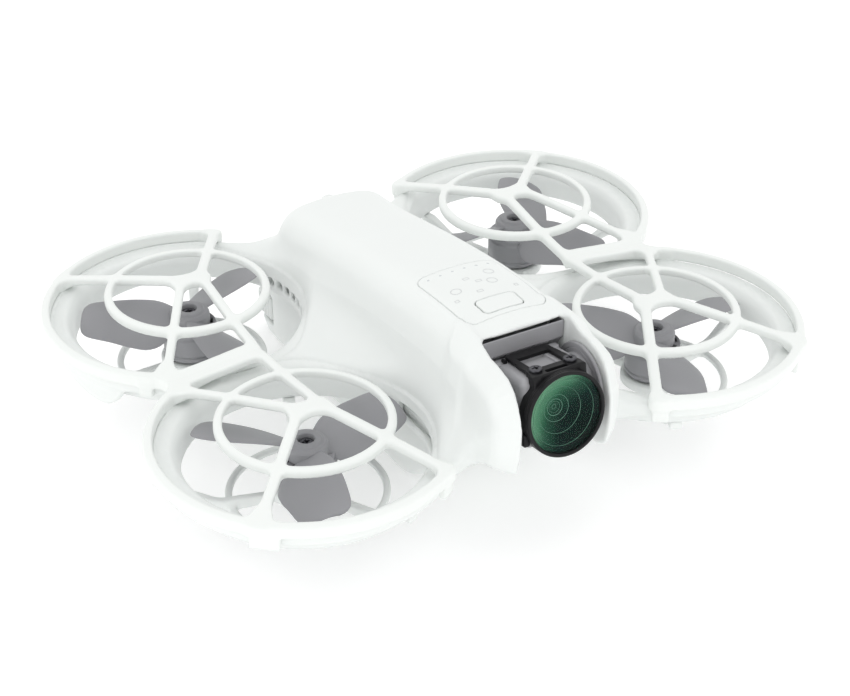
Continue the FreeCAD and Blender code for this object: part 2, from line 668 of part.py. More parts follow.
def camera():
    """Camera that tilts between the prongs, with a screw-on filter in front. It is drawn
    level and pitched at the end."""
    half = D.camera_half
    block = box("housing_block", (-half, half), (D.camera_front_y, D.camera_rear_y),
                (D.camera_low_z, D.camera_top_z))
    bore = D.pivot_radius + D.shaft_play
    screws = filter_screw_shapes("housing")
    housing = less("housing_cut", block,
                   rod("bore_left", (half - 2.4, D.tilt_y, D.tilt_z), bore, 3, "X"),
                   rod("bore_right", (-half - 0.6, D.tilt_y, D.tilt_z), bore, 3, "X"),
                   box("board_room", (-6.2, 6.2), (D.camera_rear_y - 2.2, HALF), (29.6, 40.4)),
                   screws)
    keep(pitched(housing), "camera_housing")
    board = less("board_cut", box("board", (-6, 6), (D.camera_rear_y - 2.2,
                                                     D.camera_rear_y - 1.0), (29.8, 40.2)),
                 rod("board_hole", (0, D.camera_rear_y - 2.2, 38.2), 0.8, 1.2, "Y"))
    keep(pitched(board), "camera_board")
    middle = (0, D.filter_rear_y, D.filter_z)
    depth = D.camera_front_y - D.filter_rear_y
    barrel = less("barrel_cut", rod("barrel", middle, 7.6, depth, "Y"),
                  rod("barrel_bore", middle, 4.4, depth, "Y"))
    keep(pitched(barrel), "lens_barrel")
    lens = shared("lens_body", rod("glass", middle, 4.4, depth, "Y"),
                  box("glass_stock", (-5, 5), (D.filter_rear_y, D.camera_front_y),
                      (D.filter_z - 5, D.filter_z + 5)))
    keep(pitched(lens), "lens_glass")
    front = (0, D.filter_rear_y - D.filter_depth, D.filter_z)
    seat = D.filter_radius - 0.9
    ring = less("filter_cut", rod("filter_disc", front, D.filter_radius, D.filter_depth, "Y"),
                rod("filter_seat", front, seat, D.filter_depth - 0.4, "Y"),
                rod("filter_back", front, D.filter_radius - 3.0, D.filter_depth, "Y"))
    keep(pitched(ring), "filter_ring")
    pane_front = D.filter_rear_y - D.filter_depth + 0.4
    pane = shared("filter_pane", rod("pane", (0, pane_front, D.filter_z), seat,
                                     D.filter_depth - 0.8, "Y"),
                  box("pane_stock", (-10, 10), (pane_front, D.filter_rear_y - 0.4),
                      (D.filter_z - 10, D.filter_z + 10)))
    keep(pitched(pane), "filter_glass")
    plate = box("bracket_plate", (-D.bracket_half, D.bracket_half), (D.filter_rear_y, -46.5),
                (D.camera_top_z, D.camera_top_z + 1.2))
    window = box("bracket_window", (-3.2, 3.2), (-55.2, -48.7), (D.camera_top_z, 50))
    keep(pitched(less("bracket_cut", plate, window, filter_screw_shapes("bracket"))),
         "filter_bracket")
    keep(pitched(filter_screw_shapes("loose_filter")), "filter_screws")


def filter_screw_shapes(name):
    items = []
    for number, x in enumerate((-4.2, 4.2)):
        top = D.camera_top_z + 1.2
        items.append(rod(f"{name}_head_{number}", (x, -56.9, top), 1.3, 0.5))
        items.append(rod(f"{name}_shank_{number}", (x, -56.9, top - 3), 0.6, 3))
    return joined(name + "_filter_screws", *items)


def electronics():
    """Boards, antennas, sensors and sockets inside the shells."""
    chips = [box("chip_radio", (-6, 6), (-16, -4), (34.2, 35.4)),
             box("chip_main", (-4.5, 4.5), (2, 11), (34.2, 35.2)),
             box("chip_store", (-8, -2), (-28, -20), (34.2, 35.0))]
    keep(joined("board_main", box("board_plate", (-10.4, 10.4), (-34, 31), (33, 34.2)), *chips),
         "main_board")
    keep(box("spreader", (-10.4, 10.4), (-30, 28), (30.6, 31.6)), "heat_spreader")
    keep(joined("power_board_body", box("power_plate", (-10, 10), (-30, 36), (21.4, 22.6)),
                box("power_stage", (-7, 7), (-8, 8), (22.6, 24.2))), "power_board")
    keep(box("satellite", (-7.5, 7.5), (14, 29), (34.2, 36.8)), "satellite_antenna")
    keep(joined("antenna_group", box("antenna_left", (11.2, 11.7), (22, 42), (27, 34)),
                box("antenna_right", (-11.7, -11.2), (22, 42), (27, 34))), "radio_antennas")
    keep(rod("vision", (0, -15.5, 0.4), 3.0, 3.4), "downward_lens")
    keep(joined("window_group", rod("window_left", (7.5, -15.5, 0.3), 1.8, 2.6),
                rod("window_right", (-7.5, -15.5, 0.3), 1.8, 2.6)), "range_windows")
    keep(less("port_body", box("port_block", PORT_X, (41, D.tail_y), PORT_Z),
              box("port_slot", (-3.9, 3.9), (42, 48), (PORT_Z[0] + 0.6, PORT_Z[1] - 0.6))),
         "charging_port")
    keep(box("socket", (-6, 6), (-13, D.pack_front_y - D.play), (6, 12)), "battery_socket")
    keep(rod("power_cap", (0, 44.2, POWER_Z), POWER_RADIUS, 3.0, "Y"), "power_button")


def battery():
    """Battery that slides out of the tail, with a latch on each side."""
    low, high = D.pack_z, D.pack_z + D.pack_height
    half = D.pack_half
    block = box("pack_block", (-half, half), (D.pack_front_y, D.pack_rear_y), (low, high))
    room = box("pack_hollow", (-half + 1, half - 1), (D.pack_front_y + 1.2, 43.4),
               (low + 1, high - 1))
    latch_pockets = [box(f"latch_pocket_{n}", x, (44.8, 53.2), (5.8, 13.2))
                     for n, x in enumerate(((half - 4.2, 30), (-30, -half + 4.2)))]
    lights = joined("level_rods", *[
        rod(f"level_rod_{n}", (-4.5 + 3 * n, D.pack_rear_y - 1, 14.5), 0.6, 1, "Y")
        for n in range(4)])
    keep(less("pack_case", block, room, lights, *latch_pockets), "battery_case")
    keep(lights, "level_lights")
    cells = [box(f"cell_{n}", x, (D.pack_front_y + 1.4, 41.6), (low + 1.2, high - 1.2))
             for n, x in enumerate(((0.2, half - 1.2), (-half + 1.2, -0.2)))]
    keep(joined("cell_group", *cells), "battery_cells")
    keep(box("pack_board", (-half + 1.4, half - 1.4), (41.9, 43.1), (low + 1.4, high - 1.4)),
         "battery_board")
    left = box("latch_block", (half - 2.6, half + 2.5), (45.1, 52.9), (6.1, 12.9))
    keep(left, "battery_latch_left")
    keep(mirrored("latch_other", left), "battery_latch_right")


upper_shell()
lower_shell()
ducts()
guards()
mounts()
motor_screws()
motors()
propellers()
panel_parts()
bay_parts()
camera()
shell_screws()
electronics()
battery()
doc.recompute()

for item in doc.Objects:
    faults = [state for state in item.State if state in ("Invalid", "Error")]
    if faults:
        raise RuntimeError(f"{item.Name} ({item.Label}) is {faults}")
for item in PIECES:
    if item.Shape.isNull() or not item.Shape.isValid() or not item.Shape.Solids:
        raise RuntimeError(f"{item.Label} has no valid solid")

os.makedirs("parts", exist_ok=True)
total = FreeCAD.BoundBox()
for item in PIECES:
    item.Shape.exportStep(f"parts/{item.Label}.step")
    total.add(item.Shape.BoundBox)
    print(item.Label, len(item.Shape.Solids), round(item.Shape.Volume, 1))
print("box", [round(v, 2) for v in (total.XMin, total.XMax, total.YMin, total.YMax,
                                    total.ZMin, total.ZMax)], len(PIECES), "files")
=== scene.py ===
import json
import math

import bmesh
import bpy
import numpy as np
from mathutils import Matrix, Vector

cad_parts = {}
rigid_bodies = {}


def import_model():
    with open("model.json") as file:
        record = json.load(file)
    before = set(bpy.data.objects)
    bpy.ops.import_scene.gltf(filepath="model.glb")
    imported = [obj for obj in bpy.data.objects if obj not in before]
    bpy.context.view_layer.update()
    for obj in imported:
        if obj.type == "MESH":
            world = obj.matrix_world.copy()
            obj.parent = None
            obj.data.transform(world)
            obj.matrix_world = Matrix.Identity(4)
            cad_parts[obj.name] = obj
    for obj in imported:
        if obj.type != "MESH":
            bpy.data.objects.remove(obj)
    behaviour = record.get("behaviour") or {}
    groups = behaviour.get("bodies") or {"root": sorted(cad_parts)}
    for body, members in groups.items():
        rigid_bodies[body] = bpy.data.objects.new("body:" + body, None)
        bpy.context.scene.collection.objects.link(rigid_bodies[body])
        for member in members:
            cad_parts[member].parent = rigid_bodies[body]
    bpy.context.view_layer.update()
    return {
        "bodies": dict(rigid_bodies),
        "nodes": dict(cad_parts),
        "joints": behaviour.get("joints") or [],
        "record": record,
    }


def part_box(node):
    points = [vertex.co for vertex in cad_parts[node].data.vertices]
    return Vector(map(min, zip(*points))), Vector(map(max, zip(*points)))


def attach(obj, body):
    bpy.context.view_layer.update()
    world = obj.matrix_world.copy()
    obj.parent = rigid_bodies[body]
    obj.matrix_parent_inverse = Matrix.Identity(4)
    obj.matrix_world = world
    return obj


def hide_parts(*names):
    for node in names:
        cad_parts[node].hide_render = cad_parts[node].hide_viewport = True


# A ducted micro quadcopter. Shapes are worked out in millimetres in the shared frame and
# become metres only when a mesh is made. Smooth moulded parts are drawn as fields: a field
# is negative inside the plastic, and its zero surface becomes the mesh. Turned parts are
# profiles of (radius, height) points, and the propeller blades are lofted sections.

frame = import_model()
MM = 0.001


def node_box(node):
    """A CAD node's lowest and highest corner, in millimetres."""
    low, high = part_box(node)
    return np.array(low) / MM, np.array(high) / MM


def rotor_centre(corner):
    low, high = node_box("motor_bell_" + corner)
    middle = (low + high) / 2
    return float(middle[0]), float(middle[1])


def signs(corner):
    """A rotor's side, 1 for left, and its end, 1 for the rear."""
    return (1 if "left" in corner else -1), (-1 if "front" in corner else 1)


CORNERS = ("front_left", "front_right", "rear_left", "rear_right")
AXIS_X, REAR_Y = rotor_centre("rear_left")
FRONT_Y = -REAR_Y
SPIN = {"front_left": -1, "front_right": 1, "rear_left": 1, "rear_right": -1}
FIRST_BLADE = {"front_left": 10, "front_right": 14, "rear_left": 55, "rear_right": 32}

# Driving sizes, some of them read from the CAD nodes
GUARD_TOP = 31.5
LIP_Z = float(node_box("duct_front_left")[1][2])
DUCT_FOOT = float(node_box("duct_front_left")[0][2])
LIP_FOOT = 22.6                          # underside of the lip
DUCT_R = 32.4
MOUTH_R = 31.1                           # bell mouth where it meets the lip
RIM_R = 34.0
THROAT_R = 26.6
THROAT_EDGE_Z = 22.2
MOUNT_Z = float(node_box("mount_front_left")[0][2])
BELL_LOW = float(node_box("motor_bell_front_left")[0][2]) + 0.1
BELL_TOP = float(node_box("motor_bell_front_left")[1][2])
PROP_TOP = float(node_box("propeller_front_left")[1][2])
PACK_LOW, PACK_HIGH = node_box("battery_case")
BUTTON_LOW, BUTTON_HIGH = node_box("mode_button")
TILT_Y, TILT_Z = -51.0, 35.0
FINE = 0.5        # mesh pitch of the big shells
SMALL = 0.25      # mesh pitch of the small mouldings


# ---------------------------------------------------------------- camera, light, floor

def studio():
    """Camera at the picture's angle, a pale floor and soft light."""
    camera = bpy.data.objects.new("camera", bpy.data.cameras.new("camera"))
    bpy.context.scene.collection.objects.link(camera)
    azimuth, elevation = math.radians(-29.75), math.radians(32.38)
    back = Vector((math.sin(azimuth) * math.cos(elevation),
                   -math.cos(azimuth) * math.cos(elevation), math.sin(elevation)))
    right = Vector((math.cos(azimuth), math.sin(azimuth), 0))
    up = back.cross(right)
    across, above, away = 1.18, -11.65, 432.87
    spot = right * across + up * above + back * away + Vector((0, 0, GUARD_TOP))
    turn = Matrix((right, up, back)).transposed().to_4x4()
    camera.matrix_world = Matrix.Translation(spot * MM) @ turn
    camera.data.sensor_width = 36
    camera.data.lens = 79.32
    camera.data.clip_start = 0.01
    bpy.context.scene.camera = camera

    floor = bpy.data.meshes.new("floor")
    half = 3.0
    floor.from_pydata([(-half, -half, 0), (half, -half, 0), (half, half, 0), (-half, half, 0)],
                      [], [(0, 1, 2, 3)])
    ground = bpy.data.objects.new("floor", floor)
    bpy.context.scene.collection.objects.link(ground)
    white, glow = plain("floor_white", (0.95, 0.95, 0.95), 0.9)
    feed(glow, Emission_Color=(1, 1, 1, 1), Emission_Strength=0.2)
    ground.data.materials.append(white)

    world = bpy.data.worlds.new("studio")
    bpy.context.scene.world = world
    world.use_nodes = True
    feed(world.node_tree.nodes["Background"], Color=(1.0, 1.0, 1.0, 1), Strength=1.0)
    lights = (("key", (0.25, 0.15, 0.9), 0.8, 0.5), ("front", (0.3, -0.9, 0.35), 0.9, 0.9),
              ("side", (-0.9, -0.25, 0.25), 0.9, 1.3), ("back", (-0.2, 0.9, 0.7), 0.9, 0.4))
    for name, place, width, power in lights:
        data = bpy.data.lights.new(name, "AREA")
        data.size = width
        data.energy = power
        lamp = bpy.data.objects.new(name, data)
        lamp.location = place
        lamp.rotation_euler = (Vector((0, 0, 0.02)) - Vector(place)).to_track_quat(
            "-Z", "Y").to_euler()
        bpy.context.scene.collection.objects.link(lamp)
    bpy.context.scene.view_settings.view_transform = "Standard"


# ---------------------------------------------------------------- materials

def feed(target, **inputs):
    """Set a node's inputs by name, to a value or from another node's output."""
    for name, value in inputs.items():
        socket = target.inputs[name.replace("_", " ")]
        if isinstance(value, bpy.types.NodeSocket):
            target.id_data.links.new(value, socket)
        else:
            socket.default_value = value
    return target


def new_node(tree, kind, **inputs):
    return feed(tree.nodes.new("ShaderNode" + kind), **inputs)


def plain(name, colour, roughness, metallic=0.0):
    """A bare material and its shader."""
    material = bpy.data.materials.new(name)
    material.use_nodes = True
    shader = material.node_tree.nodes["Principled BSDF"]
    feed(shader, Base_Color=(*colour, 1), Roughness=roughness, Metallic=metallic)
    return material, shader


def moulded(name, colour, roughness=0.5, grain=0.12, strength=0.25, mottle=0.02,
            metallic=0.0, stretch=(1, 1, 1)):
    """A finish with a fine grain in millimetres, faint cloudiness and uneven gloss.
    A stretch above 1 along an axis draws the grain out into brushed lines across it."""
    material, shader = plain(name, colour, roughness, metallic)
    tree = material.node_tree
    spot = new_node(tree, "TexCoord").outputs["Object"]
    scaled = new_node(tree, "Mapping", Scale=stretch, Vector=spot).outputs["Vector"]
    fine = new_node(tree, "TexNoise", Scale=1 / (grain * MM) / 4, Detail=3, Vector=scaled)
    bump = new_node(tree, "Bump", Strength=strength, Distance=grain * MM / 3,
                    Height=fine.outputs["Fac"])
    cloud = new_node(tree, "TexNoise", Scale=60, Detail=4, Vector=spot).outputs["Fac"]
    tint = new_node(tree, "MapRange", To_Min=1 - mottle, To_Max=1 + mottle, Value=cloud)
    mix = new_node(tree, "VectorMath")
    mix.operation = "SCALE"
    mix.inputs[0].default_value = colour
    feed(mix, Scale=tint.outputs["Result"])
    gloss = new_node(tree, "MapRange", To_Min=max(0.02, roughness - 0.06),
                     To_Max=roughness + 0.06, Value=cloud)
    feed(shader, Normal=bump.outputs["Normal"], Base_Color=mix.outputs["Vector"],
         Roughness=gloss.outputs["Result"])
    return material


def glass_with_painted_reflection():
    """Filter glass with a green anti-reflection coat and a painted reflection: painted pale green
    towards its upper edge on the drone's right, deep blue-green towards the lower edge on the
    drone's left."""
    material, shader = plain("green_glass_painted_reflection", (0.05, 0.2, 0.12), 0.06)
    tree = material.node_tree
    spot = new_node(tree, "TexCoord").outputs["Object"]
    # Painted reflection: a fixed gradient across the glass, light towards its upper right and dark
    # towards its lower left
    slope = new_node(tree, "VectorMath")
    slope.operation = "DOT_PRODUCT"
    slope.inputs[1].default_value = (-0.76, 0.0, 0.65)
    tree.links.new(spot, slope.inputs[0])
    level, spread = 35.2 * MM * 0.65, 8.5 * MM
    shade = new_node(tree, "MapRange", From_Min=level - spread, From_Max=level + spread,
                     Value=slope.outputs["Value"])
    film = new_node(tree, "TexNoise", Scale=90, Vector=spot)
    stir = new_node(tree, "Math")
    stir.operation = "MULTIPLY_ADD"
    stir.inputs[1].default_value = 0.1
    tree.links.new(film.outputs["Fac"], stir.inputs[0])
    tree.links.new(shade.outputs["Result"], stir.inputs[2])
    ramp = new_node(tree, "ValToRGB", Fac=stir.outputs["Value"])
    stops = ramp.color_ramp.elements
    stops[0].position, stops[0].color = 0.08, (0.0015, 0.004, 0.005, 1)
    stops[1].position, stops[1].color = 1.0, (0.19, 0.42, 0.26, 1)
    for position, colour in ((0.36, (0.002, 0.012, 0.012, 1)), (0.56, (0.022, 0.085, 0.052, 1)),
                             (0.74, (0.10, 0.27, 0.16, 1))):
        stops.new(position).color = colour
    feed(shader, Base_Color=ramp.outputs["Color"], Specular_IOR_Level=0.1)
    return material


def clear_pane():
    """Thin clear filter pane: nearly see-through, with uneven gloss from wiping."""
    material, shader = plain("filter_pane", (0.02, 0.08, 0.045), 0.05)
    tree = material.node_tree
    spot = new_node(tree, "TexCoord").outputs["Object"]
    smear = new_node(tree, "TexNoise", Scale=120, Vector=spot)
    gloss = new_node(tree, "MapRange", To_Min=0.03, To_Max=0.09, Value=smear.outputs["Fac"])
    feed(shader, Roughness=gloss.outputs["Result"], Alpha=0.05, Specular_IOR_Level=0.12)
    return material


def board_green(name, colour):
    """A circuit board: solder mask over a grid of tracks."""
    material, shader = plain(name, colour, 0.35)
    tree = material.node_tree
    spot = new_node(tree, "TexCoord").outputs["Object"]
    lighter = (colour[0] * 1.5, colour[1] * 1.3, colour[2], 1)
    tracks = new_node(tree, "TexBrick", Scale=420, Color1=(*colour, 1), Color2=lighter,
                      Mortar=(0.1, 0.3, 0.12, 1), Vector=spot)
    feed(shader, Base_Color=tracks.outputs["Color"])
    return material


# ---------------------------------------------------------------- fields

def soft_min(a, b, radius):
    """The union of two fields, filleted where they meet."""
    mix = np.clip(0.5 + 0.5 * (b - a) / radius, 0, 1)
    return b * (1 - mix) + a * mix - radius * mix * (1 - mix)


def soft_max(a, b, radius):
    """The part that two fields share, rounded where they meet."""
    return -soft_min(-a, -b, radius)


def box_field(x, y, z, centre, half, rounding=0.0):
    """Distance to a box with rounded edges."""
    gaps = [np.abs(axis - middle) - (size - rounding)
            for axis, middle, size in zip((x, y, z), centre, half)]
    outside = np.sqrt(sum(np.maximum(gap, 0) ** 2 for gap in gaps))
    inside = np.minimum(np.maximum.reduce(np.broadcast_arrays(*gaps)), 0)
    return outside + inside - rounding


def span_field(x, y, z, low, high, rounding=0.0):
    """Distance to a rounded box given by its two corners."""
    centre = [(a + b) / 2 for a, b in zip(low, high)]
    half = [(b - a) / 2 for a, b in zip(low, high)]
    return box_field(x, y, z, centre, half, rounding)


def tile_field(u, v, half_u, half_v, corner):
    """Distance in a plane to a rectangle with round corners."""
    gap_u, gap_v = np.abs(u) - (half_u - corner), np.abs(v) - (half_v - corner)
    outside = np.hypot(np.maximum(gap_u, 0), np.maximum(gap_v, 0))
    return outside + np.minimum(np.maximum(gap_u, gap_v), 0) - corner


def plate_field(u, v, corners):
    """Distance to a polygon in a plane."""
    far = np.full(np.broadcast(u, v).shape, 1e9)
    inside = np.zeros(far.shape, bool)
    for (u0, v0), (u1, v1) in zip(corners, corners[1:] + corners[:1]):
        run, rise = u1 - u0, v1 - v0
        along = np.clip(((u - u0) * run + (v - v0) * rise) / (run * run + rise * rise), 0, 1)
        far = np.minimum(far, (u - u0 - along * run) ** 2 + (v - v0 - along * rise) ** 2)
        if rise:
            crosses = (v0 > v) != (v1 > v)
            inside ^= crosses & (u < u0 + (v - v0) * run / rise)
    return np.where(inside, -np.sqrt(far), np.sqrt(far))


def strip_field(x, y, start, end, width):
    """Distance in plan to a straight strip with round ends."""
    run = np.array(end) - start
    along = np.clip(((x - start[0]) * run[0] + (y - start[1]) * run[1]) / (run @ run), 0, 1)
    return np.hypot(x - start[0] - along * run[0], y - start[1] - along * run[1]) - width / 2


def smooth_curve(t, knots):
    """A smooth curve through (t, value) knots."""
    at = np.array([knot[0] for knot in knots], float)
    values = np.array([knot[1] for knot in knots], float)
    slopes = np.gradient(values, at)
    t = np.clip(t, at[0], at[-1])
    piece = np.clip(np.searchsorted(at, t) - 1, 0, len(at) - 2)
    width = at[piece + 1] - at[piece]
    s = (t - at[piece]) / width
    return ((1 + 2 * s) * (1 - s) ** 2 * values[piece] + s * (1 - s) ** 2 * width * slopes[piece]
            + s * s * (3 - 2 * s) * values[piece + 1]
            + s * s * (s - 1) * width * slopes[piece + 1])


# ---------------------------------------------------------------- fields to meshes

def gradient(field, points):
    step = 0.02
    parts = []
    for axis in range(3):
        shift = np.zeros(3)
        shift[axis] = step
        ahead = field(*(points + shift).T)
        behind = field(*(points - shift).T)
        parts.append((ahead - behind) / (2 * step))
    return np.array(parts).T


def net(field, low, high, step):
    """Vertices and quads of the field's zero surface inside a box."""
    counts = [int(math.ceil((b - a) / step)) + 1 for a, b in zip(low, high)]
    axes = [a + step * np.arange(n) for a, n in zip(low, counts)]
    values = np.empty(counts, np.float32)
    chunk = max(1, int(2e6 / (counts[1] * counts[2])))
    for first in range(0, counts[0], chunk):
        x, y, z = np.meshgrid(axes[0][first:first + chunk], axes[1], axes[2], indexing="ij")
        values[first:first + chunk] = field(x, y, z)
    inside = values < 0
    cells = np.zeros([n - 1 for n in counts], np.int8)
    for i in (0, 1):
        for j in (0, 1):
            for k in (0, 1):
                cells += inside[i:counts[0] - 1 + i, j:counts[1] - 1 + j, k:counts[2] - 1 + k]
    active = (cells > 0) & (cells < 8)
    where = np.argwhere(active)
    number = np.full(cells.shape, -1, np.int64)
    number[active] = np.arange(len(where))
    total = np.zeros((len(where), 3))
    hits = np.zeros(len(where))
    for axis in range(3):
        others = [n for n in range(3) if n != axis]
        for a in (0, 1):
            for b in (0, 1):
                corner = np.zeros(3, int)
                corner[others[0]], corner[others[1]] = a, b
                start = where + corner
                end = start.copy()
                end[:, axis] += 1
                v0 = values[tuple(start.T)]
                v1 = values[tuple(end.T)]
                cut = (v0 < 0) != (v1 < 0)
                part = np.where(cut, v0 / np.where(cut, v0 - v1, 1), 0)
                spot = start.astype(float)
                spot[:, axis] += part
                total += spot * cut[:, None]
                hits += cut
    points = np.array(low) + step * total / hits[:, None]
    quads = []
    for axis in range(3):
        b, c = [n for n in range(3) if n != axis]
        ahead = [slice(None)] * 3
        behind = [slice(None)] * 3
        ahead[axis], behind[axis] = slice(1, None), slice(None, -1)
        flips = inside[tuple(ahead)] != inside[tuple(behind)]
        edges = np.argwhere(flips)
        keep = np.ones(len(edges), bool)
        for other in (b, c):
            keep &= (edges[:, other] > 0) & (edges[:, other] < counts[other] - 1)
        edges = edges[keep]
        ring = []
        for down_b, down_c in ((1, 1), (0, 1), (0, 0), (1, 0)):
            cell = edges.copy()
            cell[:, b] -= down_b
            cell[:, c] -= down_c
            ring.append(number[tuple(cell.T)])
        ring = np.array(ring).T
        outward = inside[tuple(edges.T)]
        if axis == 1:
            outward = ~outward
        ring[~outward] = ring[~outward][:, ::-1]
        quads.append(ring)
    return points, np.concatenate(quads)


def settle(field, points, step, rounds=3):
    """Move net points onto the exact zero surface."""
    for _ in range(rounds):
        slope = gradient(field, points)
        length2 = np.maximum((slope ** 2).sum(1), 0.05)
        move = -field(*points.T)[:, None] * slope / length2[:, None]
        size = np.linalg.norm(move, axis=1)
        limit = np.minimum(1, 0.5 * step / np.maximum(size, 1e-9))
        points = points + move * limit[:, None]
    return points


def solid(field, low, high, step, mirror=False):
    """Points and quads of a field. With mirror, the field is drawn for x above 0 only."""
    if mirror:
        low = (-step / 2, low[1], low[2])
    points, quads = net(field, low, high, step)
    middle = np.abs(points[:, 0]) < step * 0.5 if mirror else None
    points = settle(field, points, step)
    if mirror:
        points[middle, 0] = 0
        twin = points * (-1, 1, 1)
        other = np.arange(len(points)) + len(points)
        other[middle] = np.nonzero(middle)[0]
        quads = np.concatenate([quads, other[quads][:, ::-1]])
        points = np.concatenate([points, twin])
        used = np.zeros(len(points), bool)
        used[quads.ravel()] = True
        renumber = np.cumsum(used) - 1
        quads = renumber[quads]
        points = points[used]
    return points, quads


def moulding(name, field, low, high, step, mirror=False):
    return mesh_object(name, *solid(field, low, high, step, mirror))


# ---------------------------------------------------------------- turned and lofted forms

def eased(points, radius, steps=3, closed=True):
    """A profile with its corners rounded, each by no more than its runs allow."""
    points = [np.array(p, float) for p in points]
    result = []
    for number, corner in enumerate(points):
        if not closed and number in (0, len(points) - 1):
            result.append(corner)
            continue
        before, after = points[number - 1], points[(number + 1) % len(points)]
        runs = [before - corner, after - corner]
        lengths = [np.hypot(*run) for run in runs]
        ways = [run / max(length, 1e-9) for run, length in zip(runs, lengths)]
        turn = math.pi - math.acos(max(-1, min(1, float(ways[0] @ ways[1]))))
        reach = radius * math.tan(turn / 2) if turn < 3.0 else 0
        reach = min(reach, 0.45 * min(lengths))
        if reach < 1e-3:
            result.append(corner)
            continue
        for step in range(steps + 1):
            t = step / steps
            result.append((1 - t) ** 2 * (corner + ways[0] * reach) + 2 * t * (1 - t) * corner
                          + t ** 2 * (corner + ways[1] * reach))
    return result


def ring_quads(rings, count, loop=True, joined=True):
    """Quads between rings of points. With loop, the last ring meets the first one; with
    joined, each ring closes on itself."""
    faces = []
    for ring in range(rings if loop else rings - 1):
        start, other = ring * count, (ring + 1) % rings * count
        for number in range(count if joined else count - 1):
            ahead = (number + 1) % count
            faces.append((start + number, other + number, other + ahead, start + ahead))
    return faces


def turned(profile, sides=64, closed=True):
    """Points and faces of a profile of (radius, height) points turned about Z. A profile
    that isn't closed starts and ends on the axis."""
    points = []
    for side in range(sides):
        angle = 2 * math.pi * side / sides
        points += [(r * math.cos(angle), r * math.sin(angle), h) for r, h in profile]
    return np.array(points), ring_quads(sides, len(profile), joined=closed)


def spun(form, angle):
    """A form turned about Z by an angle in degrees."""
    points, faces = form
    lean = math.radians(angle)
    spin = np.array(((math.cos(lean), math.sin(lean), 0), (-math.sin(lean), math.cos(lean), 0),
                     (0, 0, 1)))
    return points @ spin, faces


def upright(points, along):
    """Points about Z turned so that +Z becomes the given axis."""
    if along == "Y":
        return points[:, [0, 2, 1]] * (-1, 1, 1)
    if along == "X":
        return points[:, [2, 0, 1]]
    return points


def lathe(name, profile, centre, along="Z", sides=64, closed=True):
    """A turned piece about an axis through centre, with profile heights along the axis."""
    points, faces = turned(profile, sides, closed)
    return mesh_object(name, upright(points, along) + centre, faces)


def mesh_object(name, points, faces, smooth=True):
    """A mesh object from points in millimetres. Faces face outwards and share points."""
    mesh = bpy.data.meshes.new(name)
    points = np.asarray(points, float) * MM
    if isinstance(faces, np.ndarray):
        mesh.vertices.add(len(points))
        mesh.vertices.foreach_set("co", points.astype(np.float32).ravel())
        mesh.loops.add(faces.size)
        mesh.loops.foreach_set("vertex_index", faces.astype(np.int32).ravel())
        mesh.polygons.add(len(faces))
        size = faces.shape[1]
        mesh.polygons.foreach_set("loop_start", np.arange(0, faces.size, size, dtype=np.int32))
        mesh.update(calc_edges=True)
        mesh.validate()
    else:
        mesh.from_pydata([tuple(p) for p in points], [], faces)
        whole = bmesh.new()
        whole.from_mesh(mesh)
        bmesh.ops.remove_doubles(whole, verts=whole.verts, dist=1e-7)
        bmesh.ops.recalc_face_normals(whole, faces=whole.faces)
        whole.to_mesh(mesh)
        whole.free()
    mesh.polygons.foreach_set("use_smooth", [smooth] * len(mesh.polygons))
    piece = bpy.data.objects.new(name, mesh)
    bpy.context.scene.collection.objects.link(piece)
    return piece


def merged(*forms):
    """One (points, faces) form from several."""
    points, faces, count = [], [], 0
    for form_points, form_faces in forms:
        points.append(np.asarray(form_points, float))
        faces += [tuple(int(v) + count for v in face) for face in form_faces]
        count += len(form_points)
    return np.concatenate(points), faces


def crisp(piece, angle=35):
    """Keep edges sharper than an angle hard in the shading."""
    piece.data.set_sharp_from_angle(angle=math.radians(angle))
    return piece


def dress(piece, material, body="root", stands_for=()):
    """Give a piece its finish and its CAD body, and hide what it stands for."""
    piece.data.materials.clear()
    piece.data.materials.append(material)
    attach(piece, body)
    if stands_for:
        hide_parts(*stands_for)
    return piece


# ---------------------------------------------------------------- fuselage and ducts

ROOF = [(-62, 48.4), (-44, 47.5), (-38, 48.2), (-30, 48.35), (-18.4, 47.6), (-1.1, 45.4),
        (17.5, 42.2), (32.3, 39.6), (41, 38.7), (47, 38.2), (60, 37)]
SEAM_Z = 21.6                            # joint between the belly and the upper shell


def roof_height(x, y):
    """The crowned top of the hump."""
    return smooth_curve(y, ROOF) - 0.010 * x * x


def hump_field(x, y, z):
    """The fuselage's hump: a crowned roof and sides that lean in, in x above 0."""
    top = smooth_curve(y, ROOF)
    roof = z - roof_height(x, y)
    side = (x - (12.9 + 0.26 * np.clip(top - z, 0, 11))) * 0.97
    tail = (y - (48.2 - (z - 30) * 0.14)) * 0.99
    body = soft_max(roof, side, 4.6)
    body = soft_max(body, tail, 6)
    body = soft_max(body, -43.8 - y, 0.8)
    return soft_max(body, SEAM_Z - z, 0.6)


CHEEK = [(-57.6, 21.4), (-46, 20.6), (-36, 24), (-36, 46.8), (-42, 47.4), (-46, 47.2),
         (-49, 45.9), (-52, 45.6), (-56, 44.6), (-58.4, 42.8), (-60.0, 40.2), (-61.2, 37.2),
         (-61.8, 34.6), (-61.7, 30), (-61.3, 26.8), (-60.4, 23.2)]


def cheek_field(x, y, z):
    """A cheek beside the camera: a slanting front facet and a side facet behind it."""
    shape = plate_field(y, z, CHEEK)
    facet = (shape + 0.74 * (x - 11.0)) * 0.8
    outer = x - 15.6
    body = soft_max(soft_max(shape, facet, 0.8), outer, 1.6)
    return soft_max(body, 10.6 - x, 0.6)


def rotor_distance(x, y):
    """Distance in plan to the nearer rotor axis on the left side."""
    return np.hypot(x - AXIS_X, np.abs(y) - REAR_Y)


